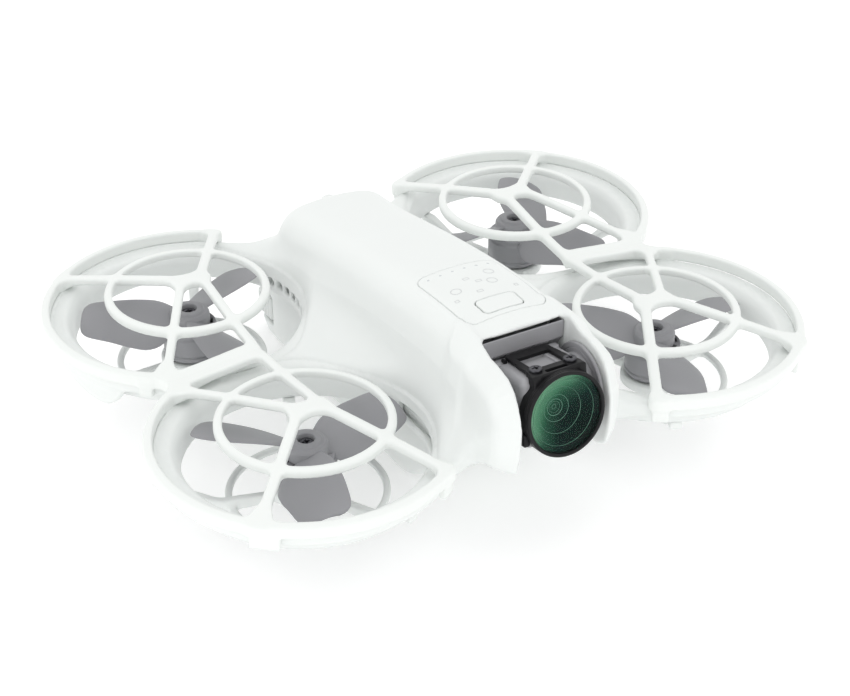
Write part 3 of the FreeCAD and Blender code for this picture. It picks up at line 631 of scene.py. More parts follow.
def deck_plan(x, y):
    """Outline of the ducts' lips and of the deck that joins them to the fuselage."""
    front = np.hypot(x - AXIS_X, y - FRONT_Y) - DUCT_R
    rear = np.hypot(x - AXIS_X, y - REAR_Y) - DUCT_R
    waist = tile_field(x, y - 1.5, 34.5, 11.5, 2)
    tail = tile_field(x, y - 24, 24.0, 27.5, 3)
    nose = tile_field(x, y + 24, 17.0, 20, 3)
    plan = soft_min(soft_min(front, rear, 3), waist, 4)
    plan = soft_min(plan, tail, 5)
    return soft_min(plan, nose, 4)


def duct_skin(x, y, z):
    """Lips, deck and throats of the ducts, with a channel under the apron of the lip."""
    middle, half = (LIP_Z + LIP_FOOT) / 2, (LIP_Z - LIP_FOOT) / 2
    skin = soft_max(deck_plan(x, y), np.abs(z - middle) - half, 1.4)
    r = rotor_distance(x, y)
    channel = soft_max(np.abs(r - 29.9) - 1.2, z - 24.2, 0.5)
    channel = np.maximum(channel, 34 - x)
    skin = soft_max(skin, -channel, 0.4)
    tube = soft_max(r - (THROAT_R + 1.5), DUCT_FOOT - z, 0.6)
    tube = soft_max(tube, z - 25, 1)
    return soft_min(skin, tube, 1.2)


FOOT_EDGE = [(-52, 24.5), (-41, 23.4), (-35, 19.0), (-28, 16.6), (-20, 16.8), (-8, 18.2),
             (8, 19.8), (22, 23.0), (30, 24.5)]


def rear_foot(x, y, z):
    """The skirt that hangs from a rear duct's outboard side down to a rounded foot."""
    out, fore = x - AXIS_X, y - REAR_Y
    r = np.hypot(out, fore)
    turn = np.degrees(np.arctan2(fore, out))
    edge = smooth_curve(turn, FOOT_EDGE)
    wall = np.abs(r - (30.6 + (z - 24) * 0.06)) - 1.0
    body = soft_max(wall, (edge - z) * 0.8, 1.0)
    return soft_max(body, z - 25, 0.5)


def duct_rooms(x, y, z):
    """The bell mouths and throats through the ducts, and the room above them. A mouth is
    wide over the lip and narrow where the fuselage comes down to the throat."""
    r = rotor_distance(x, y)
    inboard = (AXIS_X - x) / np.maximum(r, 1e-6)
    close = np.clip((inboard - 0.35) / 0.5, 0, 1)
    close = close * close * (3 - 2 * close)
    flare = 6.6 - 5.4 * close
    rise = np.clip(z - THROAT_EDGE_Z, 0, 5.2) / 5.2
    mouth = THROAT_R + flare * (1 - np.sqrt(np.maximum(1 - rise ** 2, 0)))
    rim = MOUTH_R + (THROAT_R + 1.0 - MOUTH_R) * close
    above = np.maximum(z - LIP_Z + 0.6, 0)
    wall = np.where(z < LIP_Z - 0.6, np.minimum(mouth, rim), rim + (0.05 + 0.08 * close) * above)
    return (r - wall) * 0.9


def vents(x, y, z):
    """Slots through the inboard throat edges: six at the rear, a long one in front."""
    cuts = []
    for number in range(6):
        turn = math.radians(180 - 19 + 7.0 * number)
        across = (x - AXIS_X) * math.cos(turn) + (y - REAR_Y) * math.sin(turn)
        along = -(x - AXIS_X) * math.sin(turn) + (y - REAR_Y) * math.cos(turn)
        cuts.append(box_field(across, along, z, (27.4, 0, 21.6), (1.6, 1.15, 0.95), 0.35))
    r = np.hypot(x - AXIS_X, y - FRONT_Y)
    turn = np.degrees(np.arctan2(-(y - FRONT_Y), -(x - AXIS_X)))
    slit = np.maximum(np.abs(r - 27.8) - 2.2, np.abs(z - 21.4) - 1.7)
    slit = np.maximum(slit, (np.abs(turn - 6.5) - 20.5) * 0.46)
    return np.minimum(np.minimum.reduce(cuts), slit)


def camera_bay(x, y, z):
    """Room between the cheeks, and the pocket under the roof behind it."""
    front = span_field(x, y, z, (-10.5, -90, 20.5), (10.5, -44.2, 80), 1.2)
    pocket = span_field(x, y, z, (-10.25, -60, 20.5), (10.25, -38.0, 46.2), 1.0)
    return np.minimum(front, pocket)


PANEL_MID = (0.0, -26.8)                 # touch panel: centre and half sizes
PANEL_HALF = (10.0, 11.8)
PANEL_CORNER = 2.4


def upper_skin(x, y, z):
    """Outside of the upper shell, before its openings are cut, in x above 0."""
    top = soft_min(hump_field(x, y, z), cheek_field(x, y, z), 2.5)
    skin = soft_min(duct_skin(x, y, z), rear_foot(x, y, z), 1.6)
    sweep = 5 + 5 * np.clip((34 - y) / 14, 0, 1)
    whole = soft_min(top, skin, sweep)
    return soft_max(whole, -duct_rooms(x, y, z), 1.4)


def upper_field(x, y, z):
    """Upper shell: hump, cheeks, deck and the four ducts."""
    x = np.abs(x)
    whole = upper_skin(x, y, z)
    whole = soft_max(whole, -camera_bay(x, y, z), 1.0)
    whole = np.maximum(whole, -vents(x, y, z))
    belly = np.maximum(x - 17.6, z - SEAM_Z)
    whole = np.maximum(whole, -belly)
    seat = np.maximum(panel_plan(x, y, 1.0), roof_height(x, y) - 1.6 - z)
    whole = np.maximum(whole, -seat)
    port = np.maximum(tile_field(x, z - 30, 4.7, 1.7, 1.6), 41 - y)
    power = np.maximum(np.hypot(x, z - 34.8) - 2.7, 41 - y)
    return np.maximum(whole, -np.minimum(port, power))


BELLY_LINE = [(-50, 19.5), (-44, 15.6), (-40, 12.6), (-30, 5.6), (-22, 0.6), (-17, 0),
              (48, 0), (54, 6), (60, 12)]


def lower_field(x, y, z):
    """Lower shell: chin and belly, with the battery's room, slots and lens holes."""
    x = np.abs(x)
    line = np.maximum(smooth_curve(y, BELLY_LINE), 0)
    under = (line - z) * 0.85
    chin = np.hypot(x * 0.62, y + 24.0) - 22.0
    front = np.where(y < -30, chin, -1.0)
    body = soft_max(under, x - 17.4, 4)
    body = soft_max(body, front, 1.6)
    body = soft_max(body, y - 54, 3)
    body = soft_max(body, z - SEAM_Z + 0.12, 0.4)
    throats = np.minimum(np.hypot(x - AXIS_X, y - FRONT_Y), np.hypot(x - AXIS_X, y - REAR_Y))
    body = soft_max(body, THROAT_R + 1.6 - throats, 0.4)
    body = soft_max(body, -camera_bay(x, y, z), 0.4)
    pack = span_field(x, y, z, (-15.5, PACK_LOW[1] - 0.3, PACK_LOW[2] - 0.3),
                      (15.5, 90, PACK_HIGH[2] + 0.3), 0.6)
    slots = span_field(x, y, z, (-60, 44.4, 5.4), (60, 90, 13.6), 0.5)
    holes = [np.hypot(x, y + 15.5) - 3.15, np.hypot(x - 7.5, y + 15.5) - 1.95]
    holes = np.maximum(np.minimum.reduce(holes), z - 5)
    screw_pits = np.maximum(np.hypot(x - 8.5, y + 37.5) - 1.6, z - 13.4)
    grooves = [np.hypot((y - 4 * number) / 0.8, z / 0.5) - 1 for number in range(8)]
    grooves = np.maximum(np.minimum.reduce(grooves), x - 11)
    body = soft_max(body, -pack, 0.3)
    body = np.maximum(body, -slots)
    body = np.maximum(body, -np.minimum(holes, screw_pits))
    return np.maximum(body, -grooves * 0.5)


def fuselage(white):
    upper = moulding("upper_shell_moulding", upper_field, (0, -64.5, 16), (79, 64.5, 49.5),
                     FINE, mirror=True)
    dress(upper, white, "root",
          ["upper_shell"] + ["duct_" + corner for corner in CORNERS])
    lower = moulding("lower_shell_moulding", lower_field, (0, -48, -0.5), (19, 55.5, 23),
                     FINE, mirror=True)
    dress(lower, white, "root", ["lower_shell"])


# ---------------------------------------------------------------- touch panel and button

def roof_layer(x, y, z, lift, depth):
    """A layer that follows the shell's outside."""
    surface = upper_skin(np.abs(x), y, z) - lift
    return np.maximum(surface, -surface - depth)


def roof_at(x, y):
    """Height of the shell's outside at points in plan."""
    x, y = np.abs(np.asarray(x, float)), np.asarray(y, float)
    low, high = np.full(x.shape, 38.0), np.full(x.shape, 50.0)
    for _ in range(24):
        middle = (low + high) / 2
        inside = upper_skin(x, y, middle) < 0
        low, high = np.where(inside, middle, low), np.where(inside, high, middle)
    return (low + high) / 2


def panel_plan(x, y, grow=0.0):
    return tile_field(x - PANEL_MID[0], y - PANEL_MID[1], PANEL_HALF[0] + grow,
                      PANEL_HALF[1] + grow, PANEL_CORNER)


def button_plan(x, y, grow=0.0):
    middle = (BUTTON_LOW[1] + BUTTON_HIGH[1]) / 2
    return tile_field(x, y - middle, 4.8 + grow, 2.6 + grow, 1.1 + grow)


def surround_field(x, y, z):
    """Strip of roof round the touch panel. Its rim dips into the shell it lies on."""
    rim = panel_plan(x, y, 2.2)
    skin = roof_layer(x, y, z, 0.03 - 0.16 * np.clip(1 + rim / 1.0, 0, 1) ** 2, 1.2)
    body = np.maximum(skin, rim)
    shelf = -0.3 - upper_skin(np.abs(x), y, z)
    body = np.maximum(body, -np.maximum(panel_plan(x, y, 0.05), shelf))
    return np.maximum(body, -button_plan(x, y, 0.3))


def panel_field(x, y, z):
    """Touch panel, with the mode button's hole."""
    body = soft_max(roof_layer(x, y, z, 0.03, 1.25), panel_plan(x, y, -0.05), 0.1)
    return np.maximum(body, -button_plan(x, y, 0.25))


def button_field(x, y, z):
    cap = soft_max(roof_layer(x, y, z, 0.14, 3.4), button_plan(x, y), 0.35)
    flange = span_field(x, y, z, (-5.8, -36.9, 44.4), (5.8, -31.7, 45.0), 0.15)
    return np.minimum(cap, flange)


def flat_ring(x, y, half_u, half_v, corner, width):
    """A rounded rectangular line, printed on the roof."""
    outer = np.array(outline_points(half_u, half_v, corner))
    inner = np.array(outline_points(half_u - width, half_v - width, max(corner - width, 0.05)))
    points = []
    for ring, lift in ((outer, 0.0), (outer, 0.06), (inner, 0.06), (inner, 0.0)):
        spots = ring + (x, y)
        heights = roof_at(*spots.T) + lift
        points += list(np.column_stack([spots, heights]))
    return np.array(points), ring_quads(4, len(outer))


def outline_points(half_u, half_v, corner, steps=6):
    points = []
    for turn, (u, v) in enumerate(((1, 1), (-1, 1), (-1, -1), (1, -1))):
        for step in range(steps + 1):
            angle = math.pi / 2 * (turn + step / steps)
            points.append((u * (half_u - corner) + corner * math.cos(angle),
                           v * (half_v - corner) + corner * math.sin(angle)))
    return points


def light_dome(x, y, z, radius, height):
    """A small lens cap with its foot at a height."""
    profile = eased([(0, -0.6), (radius, -0.6), (radius, height * 0.6), (0, height)], 0.1,
                    closed=False)
    points, faces = turned(profile, 20, closed=False)
    return points + (x, y, z), faces


def touch_panel(white, mark, lens, button):
    surround = moulding("panel_surround", surround_field, (-14, -43.5, 43), (14, -10.5, 49.5),
                        SMALL)
    dress(surround, white, "root")
    panel = moulding("touch_panel_moulding", panel_field, (-10.5, -39.5, 44), (10.5, -14, 49.5),
                     SMALL)
    dress(panel, button, "root", ["touch_panel"])
    cap = moulding("mode_button_cap", button_field, (-6.2, -37.6, 44), (6.2, -31, 49.5), SMALL)
    dress(cap, button, "mode_button", ["mode_button"])
    marks = []
    for x, y in ((-5.6, -25.6), (3.6, -25.4), (5.4, -21.0)):
        marks.append(flat_ring(x, y, 1.25, 1.25, 1.2, 0.22))
    for x, y in ((-1.0, -22.0), (-1.2, -28.4), (0.9, -24.2)):
        marks.append(flat_ring(x, y, 0.75, 0.5, 0.2, 0.18))
    for x in (-7.4, 7.4):
        marks.append(flat_ring(x, -29.2, 0.5, 0.5, 0.15, 0.18))
    icons = mesh_object("panel_marks", *merged(*marks))
    dress(icons, mark, "root")
    domes = [light_dome(-7.5 + 3 * n, -17.2, float(roof_at(-7.5 + 3 * n, -17.2)) - 0.05,
                        0.42, 0.12) for n in range(6)]
    lights = mesh_object("status_light_lenses", *merged(*domes))
    dress(lights, lens, "root", ["status_lights"])


# ---------------------------------------------------------------- guards

def guard_height(x, y):
    """Middle height of a guard's section over the rotors."""
    r = np.hypot(x - AXIS_X, np.abs(y) - REAR_Y)
    cone = smooth_curve(r, [(0, 2.9), (4, 2.7), (10, 1.7), (19.2, 0), (26, -1.3), (33.4, -2.7),
                            (40, -3.4)])
    lift = 1.1 * np.exp(-((x - 41.5) / 8) ** 2 - (y / 9) ** 2)
    return GUARD_TOP - 1.0 + cone + lift


def guard_plan(x, y):
    """A guard's outline in plan; front and rear mirror each other but for one corner."""
    front = y < 0
    y = -np.abs(y)
    out_hub, in_hub = (AXIS_X + 1.3, FRONT_Y), (AXIS_X - 3.5, FRONT_Y)
    r = np.hypot(x - AXIS_X, y - FRONT_Y)
    ring = np.abs(r - 18.3) - 0.95
    angle = np.degrees(np.arctan2(y - FRONT_Y, x - AXIS_X))
    rim = np.abs(r - (RIM_R - 1.0)) - 1.0
    ends = [(np.cos(math.radians(a)) * 33.0 + AXIS_X, np.sin(math.radians(a)) * 33.0 + FRONT_Y)
            for a in (57.8, -125.7)]
    past = (angle > 57.8) | (angle < -125.7)
    nearest = np.minimum(*[np.hypot(x - ex, y - ey) for ex, ey in ends]) - 1.0
    rim = np.where(past, nearest, rim)
    spokes = [strip_field(x, y, out_hub, (61.5, -4.3), 2.0),
              strip_field(x, y, out_hub, (66.8, -54.2), 2.3),
              strip_field(x, y, in_hub, (26.5, -57.0), 2.4),
              strip_field(x, y, in_hub, (41.4, 0), 2.2)]
    plan = soft_min(ring, spokes[0], 1.6)
    for strip in spokes[1:]:
        plan = soft_min(plan, strip, 1.6)
    plan = soft_min(plan, strip_field(x, y, in_hub, out_hub, 4.2), 2.2)
    plan = soft_min(plan, rim, 2.6)
    gusset = np.where(front, strip_field(x, y, (66.0, -53.0), (67.0, -54.0), 2.8), 9)
    plan = soft_min(plan, gusset, 3.0)
    bridge = soft_max(np.abs(y + 1.0) - 2.0, np.maximum(42 - x, x - 61.5), 0.8)
    plan = soft_min(plan, bridge, 2.0)
    return soft_min(plan, strip_field(x, y, (61.7, -5), (61.7, 0), 3.0), 2.5)


TABS = ((-49.0, 3.2, 22.4), (-123.5, 1.9, 22.4), (50.0, 1.6, 23.2))


def guard_field(x, y, z):
    """A guard's rings, spokes and rims, and the tabs that clip over the duct lip."""
    plan = guard_plan(x, y)
    mid = guard_height(x, y)
    r = np.hypot(x - AXIS_X, np.abs(y) - REAR_Y)
    deep = np.clip((r - 29) / 2.5, 0, 1)
    body = soft_max(plan, np.abs(z - mid + 0.55 * deep) - (1.0 + 0.55 * deep), 0.7)
    fore = -np.abs(y) - FRONT_Y
    out = x - AXIS_X
    for angle, width, foot in TABS:
        lean = math.radians(angle)
        along = out * math.cos(lean) + fore * math.sin(lean)
        across = -out * math.sin(lean) + fore * math.cos(lean)
        middle = (foot + 28.2) / 2
        tab = box_field(along, across, z, (32.9, 0, middle), (0.85, width, 28.2 - middle), 0.4)
        body = soft_min(body, tab, 1.0)
    return body


def guards(white):
    step = FINE * 0.8
    points, quads = solid(guard_field, (8, -65, 20), (80, 65, 37), step)
    for name, flip in (("guard_left", False), ("guard_right", True)):
        placed = points * (-1, 1, 1) if flip else points
        faces = quads[:, ::-1] if flip else quads
        piece = mesh_object(name + "_moulding", placed, faces)
        dress(piece, white, "root", [name])


# ---------------------------------------------------------------- motor mounts and motors

RIBS = (10, 108, 245)        # degrees from outboard towards the rear, at a front rotor
BASE_R = 7.3


def mount_field(x, y, z):
    """The front left rotor's lower ring, motor base and ribs, about the origin."""
    r = np.hypot(x, y)
    ring = soft_max(np.abs(r - 17.0) - 0.8, np.abs(z - MOUNT_Z - 0.7) - 0.7, 0.5)
    base = soft_max(r - BASE_R, np.abs(z - 13.0) - 1.2, 0.6)
    for turn in RIBS:
        lean = math.radians(turn)
        along = x * math.cos(lean) + y * math.sin(lean)
        across = -x * math.sin(lean) + y * math.cos(lean)
        wide = 0.9 + 0.5 * np.clip((along - 20) / 7, 0, 1)
        crest = MOUNT_Z + 3.0 - 0.8 * np.clip((17 - along) / 10, 0, 1)
        climb = np.clip((along - 17.5) / 9.5, 0, 1)
        climb = 4.8 * climb * climb * (3 - 2 * climb)
        under, over = MOUNT_Z + climb, crest + climb * 0.8
        rib = soft_max(np.abs(across) - wide, np.maximum(under - z, z - over), 0.5)
        rib = soft_max(rib, np.maximum(BASE_R - 0.6 - along, along - 28.0), 0.3)
        ring = soft_min(ring, rib, 1.0)
    body = soft_min(ring, base, 1.0)
    for number in range(3):
        turn = math.radians(120 * number + 30)
        off = np.hypot(x - 4.4 * math.cos(turn), y - 4.4 * math.sin(turn))
        body = np.maximum(body, -np.maximum(off - 1.12, z - 12.7))
    return np.maximum(body, -np.maximum(r - 2.0, z - 12.3))


def mounts(white):
    points, quads = solid(mount_field, (-19, -29, 11), (29, 29, 20.5), SMALL * 1.6)
    for corner in CORNERS:
        side, end = signs(corner)
        placed = points * (side, -end, 1) + (AXIS_X * side, REAR_Y * end, 0)
        faces = quads if side * end < 0 else quads[:, ::-1]
        piece = mesh_object("mount_moulding_" + corner, placed, faces)
        dress(piece, white, "root", ["mount_" + corner])


def bell_field(x, y, z):
    """A motor bell: a can with a windowed roof, a waist groove and a hub boss."""
    r = np.hypot(x, y)
    can = soft_max(r - (6.5 - 0.25 * np.clip((z - 20.6) / 0.5, 0, 1)),
                   np.abs(z - (BELL_LOW + BELL_TOP) / 2) - (BELL_TOP - BELL_LOW) / 2, 0.5)
    room = np.maximum(r - 5.75, z - (BELL_TOP - 0.9))
    groove = np.hypot((r - 6.5) / 0.25, (z - 16.0) / 0.25) - 1
    body = np.maximum(can, -room)
    turn = np.arctan2(y, x)
    spoke = (np.abs(((turn * 9 / (2 * math.pi)) % 1) - 0.5) - 0.29) * r * 2 * math.pi / 9
    window = np.maximum(np.maximum(np.abs(r - 4.5) - 0.9, spoke), 18 - z)
    body = np.maximum(body, -window)
    shaft = np.maximum(r - 0.75, np.maximum(14.5 - z, z - BELL_TOP))
    return np.minimum(np.maximum(body, -groove * 0.3), shaft)


def stator_forms():
    """Stator plates with nine wound teeth, about the origin: iron, then copper."""
    iron, copper = [], []
    disc, faces = turned(eased([(0.85, 15.4), (2.9, 15.4), (2.9, 19.0), (0.85, 19.0)], 0.1), 36)
    iron.append((disc, faces))
    for tooth in range(9):
        shoe = []
        for z in (15.6, 18.8):
            for angle in (-0.27, -0.13, 0, 0.13, 0.27):
                shoe.append((5.15 * math.cos(angle), 5.15 * math.sin(angle), z))
            for angle in (0.27, 0.13, 0, -0.13, -0.27):
                shoe.append((4.6 * math.cos(angle), 4.6 * math.sin(angle), z))
        rim = [(k, (k + 1) % 10, (k + 1) % 10 + 10, k + 10) for k in range(10)]
        caps = [tuple(range(9, -1, -1)), tuple(range(10, 20))]
        iron.append(spun((np.array(shoe), rim + caps), 40 * tooth))
        for lap in range(5):
            coil = loop_of_wire(2.85 + 0.36 * lap, 0.17, 0.85 - 0.04 * lap, 1.7)
            copper.append(spun(coil, 40 * tooth))
    return merged(*iron), merged(*copper)


def loop_of_wire(out, radius, half_width, half_height, around=6):
    """One turn of wire round a tooth, at a distance out along X."""
    path = outline_points(half_width, half_height, 0.5, steps=3)
    points = []
    for u, v in path:
        length = math.hypot(u, v)
        for side in range(around):
            angle = 2 * math.pi * side / around
            swell = radius * math.cos(angle)
            points.append((out + radius * math.sin(angle), u + swell * u / length,
                           17.2 + v + swell * v / length))
    return np.array(points), ring_quads(len(path), around)


def screw_solid(head_r, head_h, shank_r, length):
    """A pan-head screw about the origin: head up from z 0 with a cross recess, threaded
    shank down from it."""
    def field(x, y, z):
        r = np.hypot(x, y)
        head = soft_max(r - head_r, np.abs(z - head_h / 2) - head_h / 2, head_h * 0.35)
        arm = head_r * 0.17
        reach = head_r * 0.62 - np.clip(head_h - z, 0, 1) * 0.5
        cross = np.minimum(np.maximum(np.abs(x) - arm, np.abs(y) - reach),
                           np.maximum(np.abs(y) - arm, np.abs(x) - reach))
        cross = np.maximum(cross, head_h * 0.25 - z)
        turn = np.arctan2(y, x) / (2 * math.pi)
        ridge = np.abs(((z / 0.35 - turn) % 1) - 0.5) * 0.16
        shank = np.maximum(r - shank_r + ridge, np.maximum(z - 0.05, -length - z))
        return np.minimum(np.maximum(head, -cross), shank)
    reach = head_r + 0.3
    return solid(field, (-reach, -reach, -length - 0.3), (reach, reach, head_h + 0.3),
                 max(0.07, head_r * 0.065))


def placed_form(form, spot, face_down=False):
    """A form moved to a spot, turned over for a head that faces down."""
    points, faces = form
    if face_down:
        points = points * (1, -1, -1)
    return points + spot, faces


def screws(steel, dark):
    fixing = screw_solid(1.0, 0.8, 0.5, 1.6)
    spots = []
    for corner in CORNERS:
        side, end = signs(corner)
        for number in range(3):
            turn = math.radians(120 * number + 30)
            spot = (AXIS_X * side + 4.4 * math.cos(turn) * side,
                    REAR_Y * end - 4.4 * math.sin(turn) * end, 12.65)
            spots.append(placed_form(fixing, spot, face_down=True))
    piece = mesh_object("motor_screw_set", *merged(*spots))
    dress(piece, steel, "root", ["motor_screws"])
    shell = screw_solid(1.5, 1.0, 0.8, 6.0)
    spots = [placed_form(shell, (8.5 * side, -37.5, 13.4), face_down=True) for side in (1, -1)]
    spots += [placed_form(shell, (19.5 * side, 0, 19.6), face_down=True) for side in (1, -1)]
    piece = mesh_object("shell_screw_set", *merged(*spots))
    dress(piece, steel, "root", ["shell_screws"])
    middle = screw_solid(1.6, 0.9, 0.8, 2.1)
    for corner in CORNERS:
        side, end = signs(corner)
        piece = mesh_object("prop_screw_set_" + corner,
                            *placed_form(middle, (AXIS_X * side, REAR_Y * end, 24.5)))
        dress(piece, dark, "rotor_" + corner, ["prop_screw_" + corner])


# ---------------------------------------------------------------- propellers

BLADE_LEAD = [(3.0, 2.4), (7, 4.4), (12, 5.3), (18, 5.5), (22.5, 5.2), (25.5, 4.4)]
BLADE_TRAIL = [(3, -3.5), (6, -7.3), (9, -8.8), (13, -8.6), (18, -7.4), (22.5, -6.3), (25.5, -5.2)]
BLADE_PITCH = [(3, 30), (8, 28), (13, 23), (18, 18), (25.5, 14)]
BLADE_STATIONS = 26
BLADE_ACROSS = 16


def blade_form(turn):
    """One lofted blade along +X, leading edge towards +Y where turn is 1."""
    tip = float(node_box("propeller_front_left")[1][0] - AXIS_X)
    tip = min(tip, 25.3)
    points = []
    for station in range(BLADE_STATIONS + 1):
        part = station / BLADE_STATIONS
        r = 3.2 + (tip - 3.2) * (1 - (1 - part) ** 1.35)
        lead = float(smooth_curve(r, BLADE_LEAD))
        trail = float(smooth_curve(r, BLADE_TRAIL))
        corner = max(0.0, (r - (tip - 2.2)) / 2.2)
        pull = 2.2 * (1 - math.sqrt(max(0.0, 1 - corner ** 2)))
        lead, trail = lead - pull, trail + pull
        pitch = math.radians(float(smooth_curve(r, BLADE_PITCH)))
        middle, half = (lead + trail) / 2, (lead - trail) / 2
        thick = (1.15 - 0.5 * (r - 3.2) / 22) * (1 if station < BLADE_STATIONS else 0.25)
        for number in range(2 * BLADE_ACROSS):
            angle = math.pi * number / BLADE_ACROSS
            across = math.cos(angle)
            bulge = math.copysign(abs(math.sin(angle)) ** 0.8, math.sin(angle))
            lift = 0.45 * (1 - across ** 2)
            nose = 0.75 + 0.25 * across
            up = lift + bulge * thick / 2 * nose
            u = middle + half * across
            points.append((r, turn * (u * math.cos(pitch) - up * math.sin(pitch)),
                           24.0 + u * math.sin(pitch) + up * math.cos(pitch) - 0.35))
    ring = 2 * BLADE_ACROSS
    faces = ring_quads(BLADE_STATIONS + 1, ring, loop=False)
    for start in (0, BLADE_STATIONS * ring):
        for number in range(BLADE_ACROSS - 1):
            faces.append((start + number, start + number + 1,
                          start + ring - number - 2, start + ring - number - 1))
    return np.array(points), faces


def hub_form():
    """The propeller's hub: a cap with a recess for the screw and a thin skirt."""
    profile = [(0.85, BELL_TOP + 0.02), (4.8, BELL_TOP + 0.02), (4.75, PROP_TOP - 1.3),
               (4.3, PROP_TOP - 0.6), (3.6, PROP_TOP - 0.5), (3.3, PROP_TOP), (1.9, PROP_TOP),
               (1.7, 24.5), (0.85, 24.5)]
    return turned(eased(profile, 0.3), 48)


def motors_and_propellers(metal, copper, iron, blade_grey):
    bell = solid(bell_field, (-7, -7, 14), (7, 7, 23), SMALL)
    iron_form, copper_form = stator_forms()
    for corner in CORNERS:
        side, end = signs(corner)
        spot = (AXIS_X * side, REAR_Y * end, 0)
        body = "rotor_" + corner
        piece = mesh_object("motor_bell_can_" + corner, bell[0] + spot, bell[1])
        dress(crisp(piece), metal, body, ["motor_bell_" + corner])
        plates = mesh_object("stator_plates_" + corner, iron_form[0] + spot, iron_form[1])
        dress(crisp(plates), iron, "root", ["stator_" + corner])
        winding = mesh_object("stator_windings_" + corner, copper_form[0] + spot,
                              copper_form[1])
        dress(winding, copper, "root")
        blade = blade_form(SPIN[corner])
        first = FIRST_BLADE[corner]
        blades = [spun(blade, first + 120 * number) for number in range(3)]
        points, faces = merged(hub_form(), *blades)
        propeller = mesh_object("propeller_moulding_" + corner, points + spot, faces)
        dress(crisp(propeller, 50), blade_grey, body, ["propeller_" + corner])


# ---------------------------------------------------------------- camera and its bay

# The camera is drawn level, about these sizes, and pitched up with its CAD nodes.
PITCH = 10.0
CAMERA_LOW = (-8.2, -58.0, 26.2)
CAMERA_HIGH = (8.2, -44.6, 42.0)
RING_Z = 33.4
RING_R = 9.5
RING_FRONT, RING_REAR = -61.4, -59.4
SCREW_X, SCREW_Y = 4.2, -56.9


def pitched(points):
    """Level points turned about the tilt axis to the camera's pitch at rest."""
    lean = math.radians(PITCH)
    points = np.asarray(points, float).copy()
    y, z = points[:, 1] - TILT_Y, points[:, 2] - TILT_Z
    points[:, 1] = TILT_Y + y * math.cos(lean) + z * math.sin(lean)
    points[:, 2] = TILT_Z + z * math.cos(lean) - y * math.sin(lean)
    return points


def camera_piece(name, form, material, stands_for=(), angle=35):
    """A piece on the camera's body, from a level form."""
    piece = mesh_object(name, pitched(form[0]), form[1])
    return dress(crisp(piece, angle), material, "camera", stands_for)


def lens_form(profile, closed=True, sides=128):
    """A form turned about the lens axis, from (radius, depth behind the front) points."""
    points, faces = turned([(r, RING_FRONT + depth) for r, depth in profile], sides, closed)
    return upright(points, "Y") + (0, 0, RING_Z), faces


def housing_field(x, y, z):
    """Grey camera housing: a rounded block with a round heel and a sunk top."""
    low, high = CAMERA_LOW, CAMERA_HIGH
    block = span_field(x, y, z, low, high, 1.6)
    top = span_field(x, y, z, (-3.0, -55.4, high[2] - 0.6), (3.0, -48.4, high[2] + 5), 0.3)
    seam = np.maximum(np.abs(y + 47.6) - 0.14, -(block + 0.35))
    cheek = np.hypot(y - TILT_Y, z - TILT_Z)
    heel = np.maximum(np.maximum(cheek - 9.15, np.abs(x) - 8.0), np.abs(z - 36) - 6.0)
    heel = np.maximum(heel, -46.8 - y)
    ring = np.maximum(np.abs(cheek - 5.2) - 0.18, 7.85 - np.abs(x))
    back = span_field(x, y, z, (-6.2, -46.8, 29.6), (6.2, -40, 40.4), 0.4)
    body = np.maximum(soft_min(block, heel, 0.6), -top)
    body = np.maximum(body, -np.minimum(seam, ring))
    body = np.maximum(body, -back)
    bore = np.maximum(cheek - 1.08, 5.6 - np.abs(x))
    well = np.maximum(np.hypot(x, z - RING_Z) - 7.2, y + 52.5)
    return np.maximum(body, -np.minimum(bore, well))


def bracket_field(x, y, z):
    """Black bracket: a frame over the camera, a hook, a cross-bar and the ring's collar."""
    top = CAMERA_HIGH[2] + 0.05
    plan = tile_field(x / (1 - 0.012 * (y + 57.6)), y + 51.9, 6.0, 5.9, 0.5)
    hole = tile_field(x, y + 52.4, 3.9, 3.5, 0.4)
    frame = np.maximum(soft_max(plan, np.abs(z - top - 0.5) - 0.45, 0.25), -hole)
    hook = span_field(x, y, z, (-6.3, -48.0, top - 1.6), (-5.6, -46.6, top + 0.9), 0.2)
    bar = span_field(x, y, z, (-6.0, -59.6, top - 0.6), (6.0, -55.9, top + 1.0), 0.4)
    bars_gap = span_field(x, y, z, (-2.6, -58.9, top - 0.2), (2.6, -57.9, top + 3), 0.2)
    r = np.hypot(x, z - RING_Z)
    collar = soft_max(np.abs(r - 8.6) - 0.85, np.abs(y + 58.4) - 1.15, 0.35)
    lugs = span_field(np.abs(x), y, z, (4.4, -59.8, top - 2.6), (6.5, -57.3, top + 0.9), 0.5)
    latch = span_field(x, y, z, (-9.9, -59.9, 28.2), (-8.4, -57.6, 31.0), 0.35)
    body = soft_min(frame, bar, 0.5)
    body = soft_min(body, lugs, 0.5)
    body = soft_min(body, collar, 0.4)
    body = np.minimum(body, np.minimum(hook, latch))
    body = np.maximum(body, -bars_gap)
    shank = np.hypot(np.abs(x) - SCREW_X, y - SCREW_Y) - 0.75
    body = np.maximum(body, -np.maximum(shank, top - 2.6 - z))
    glass = np.maximum(r - 7.7, np.abs(y + 59.9) - 3)
    return np.maximum(body, -glass)


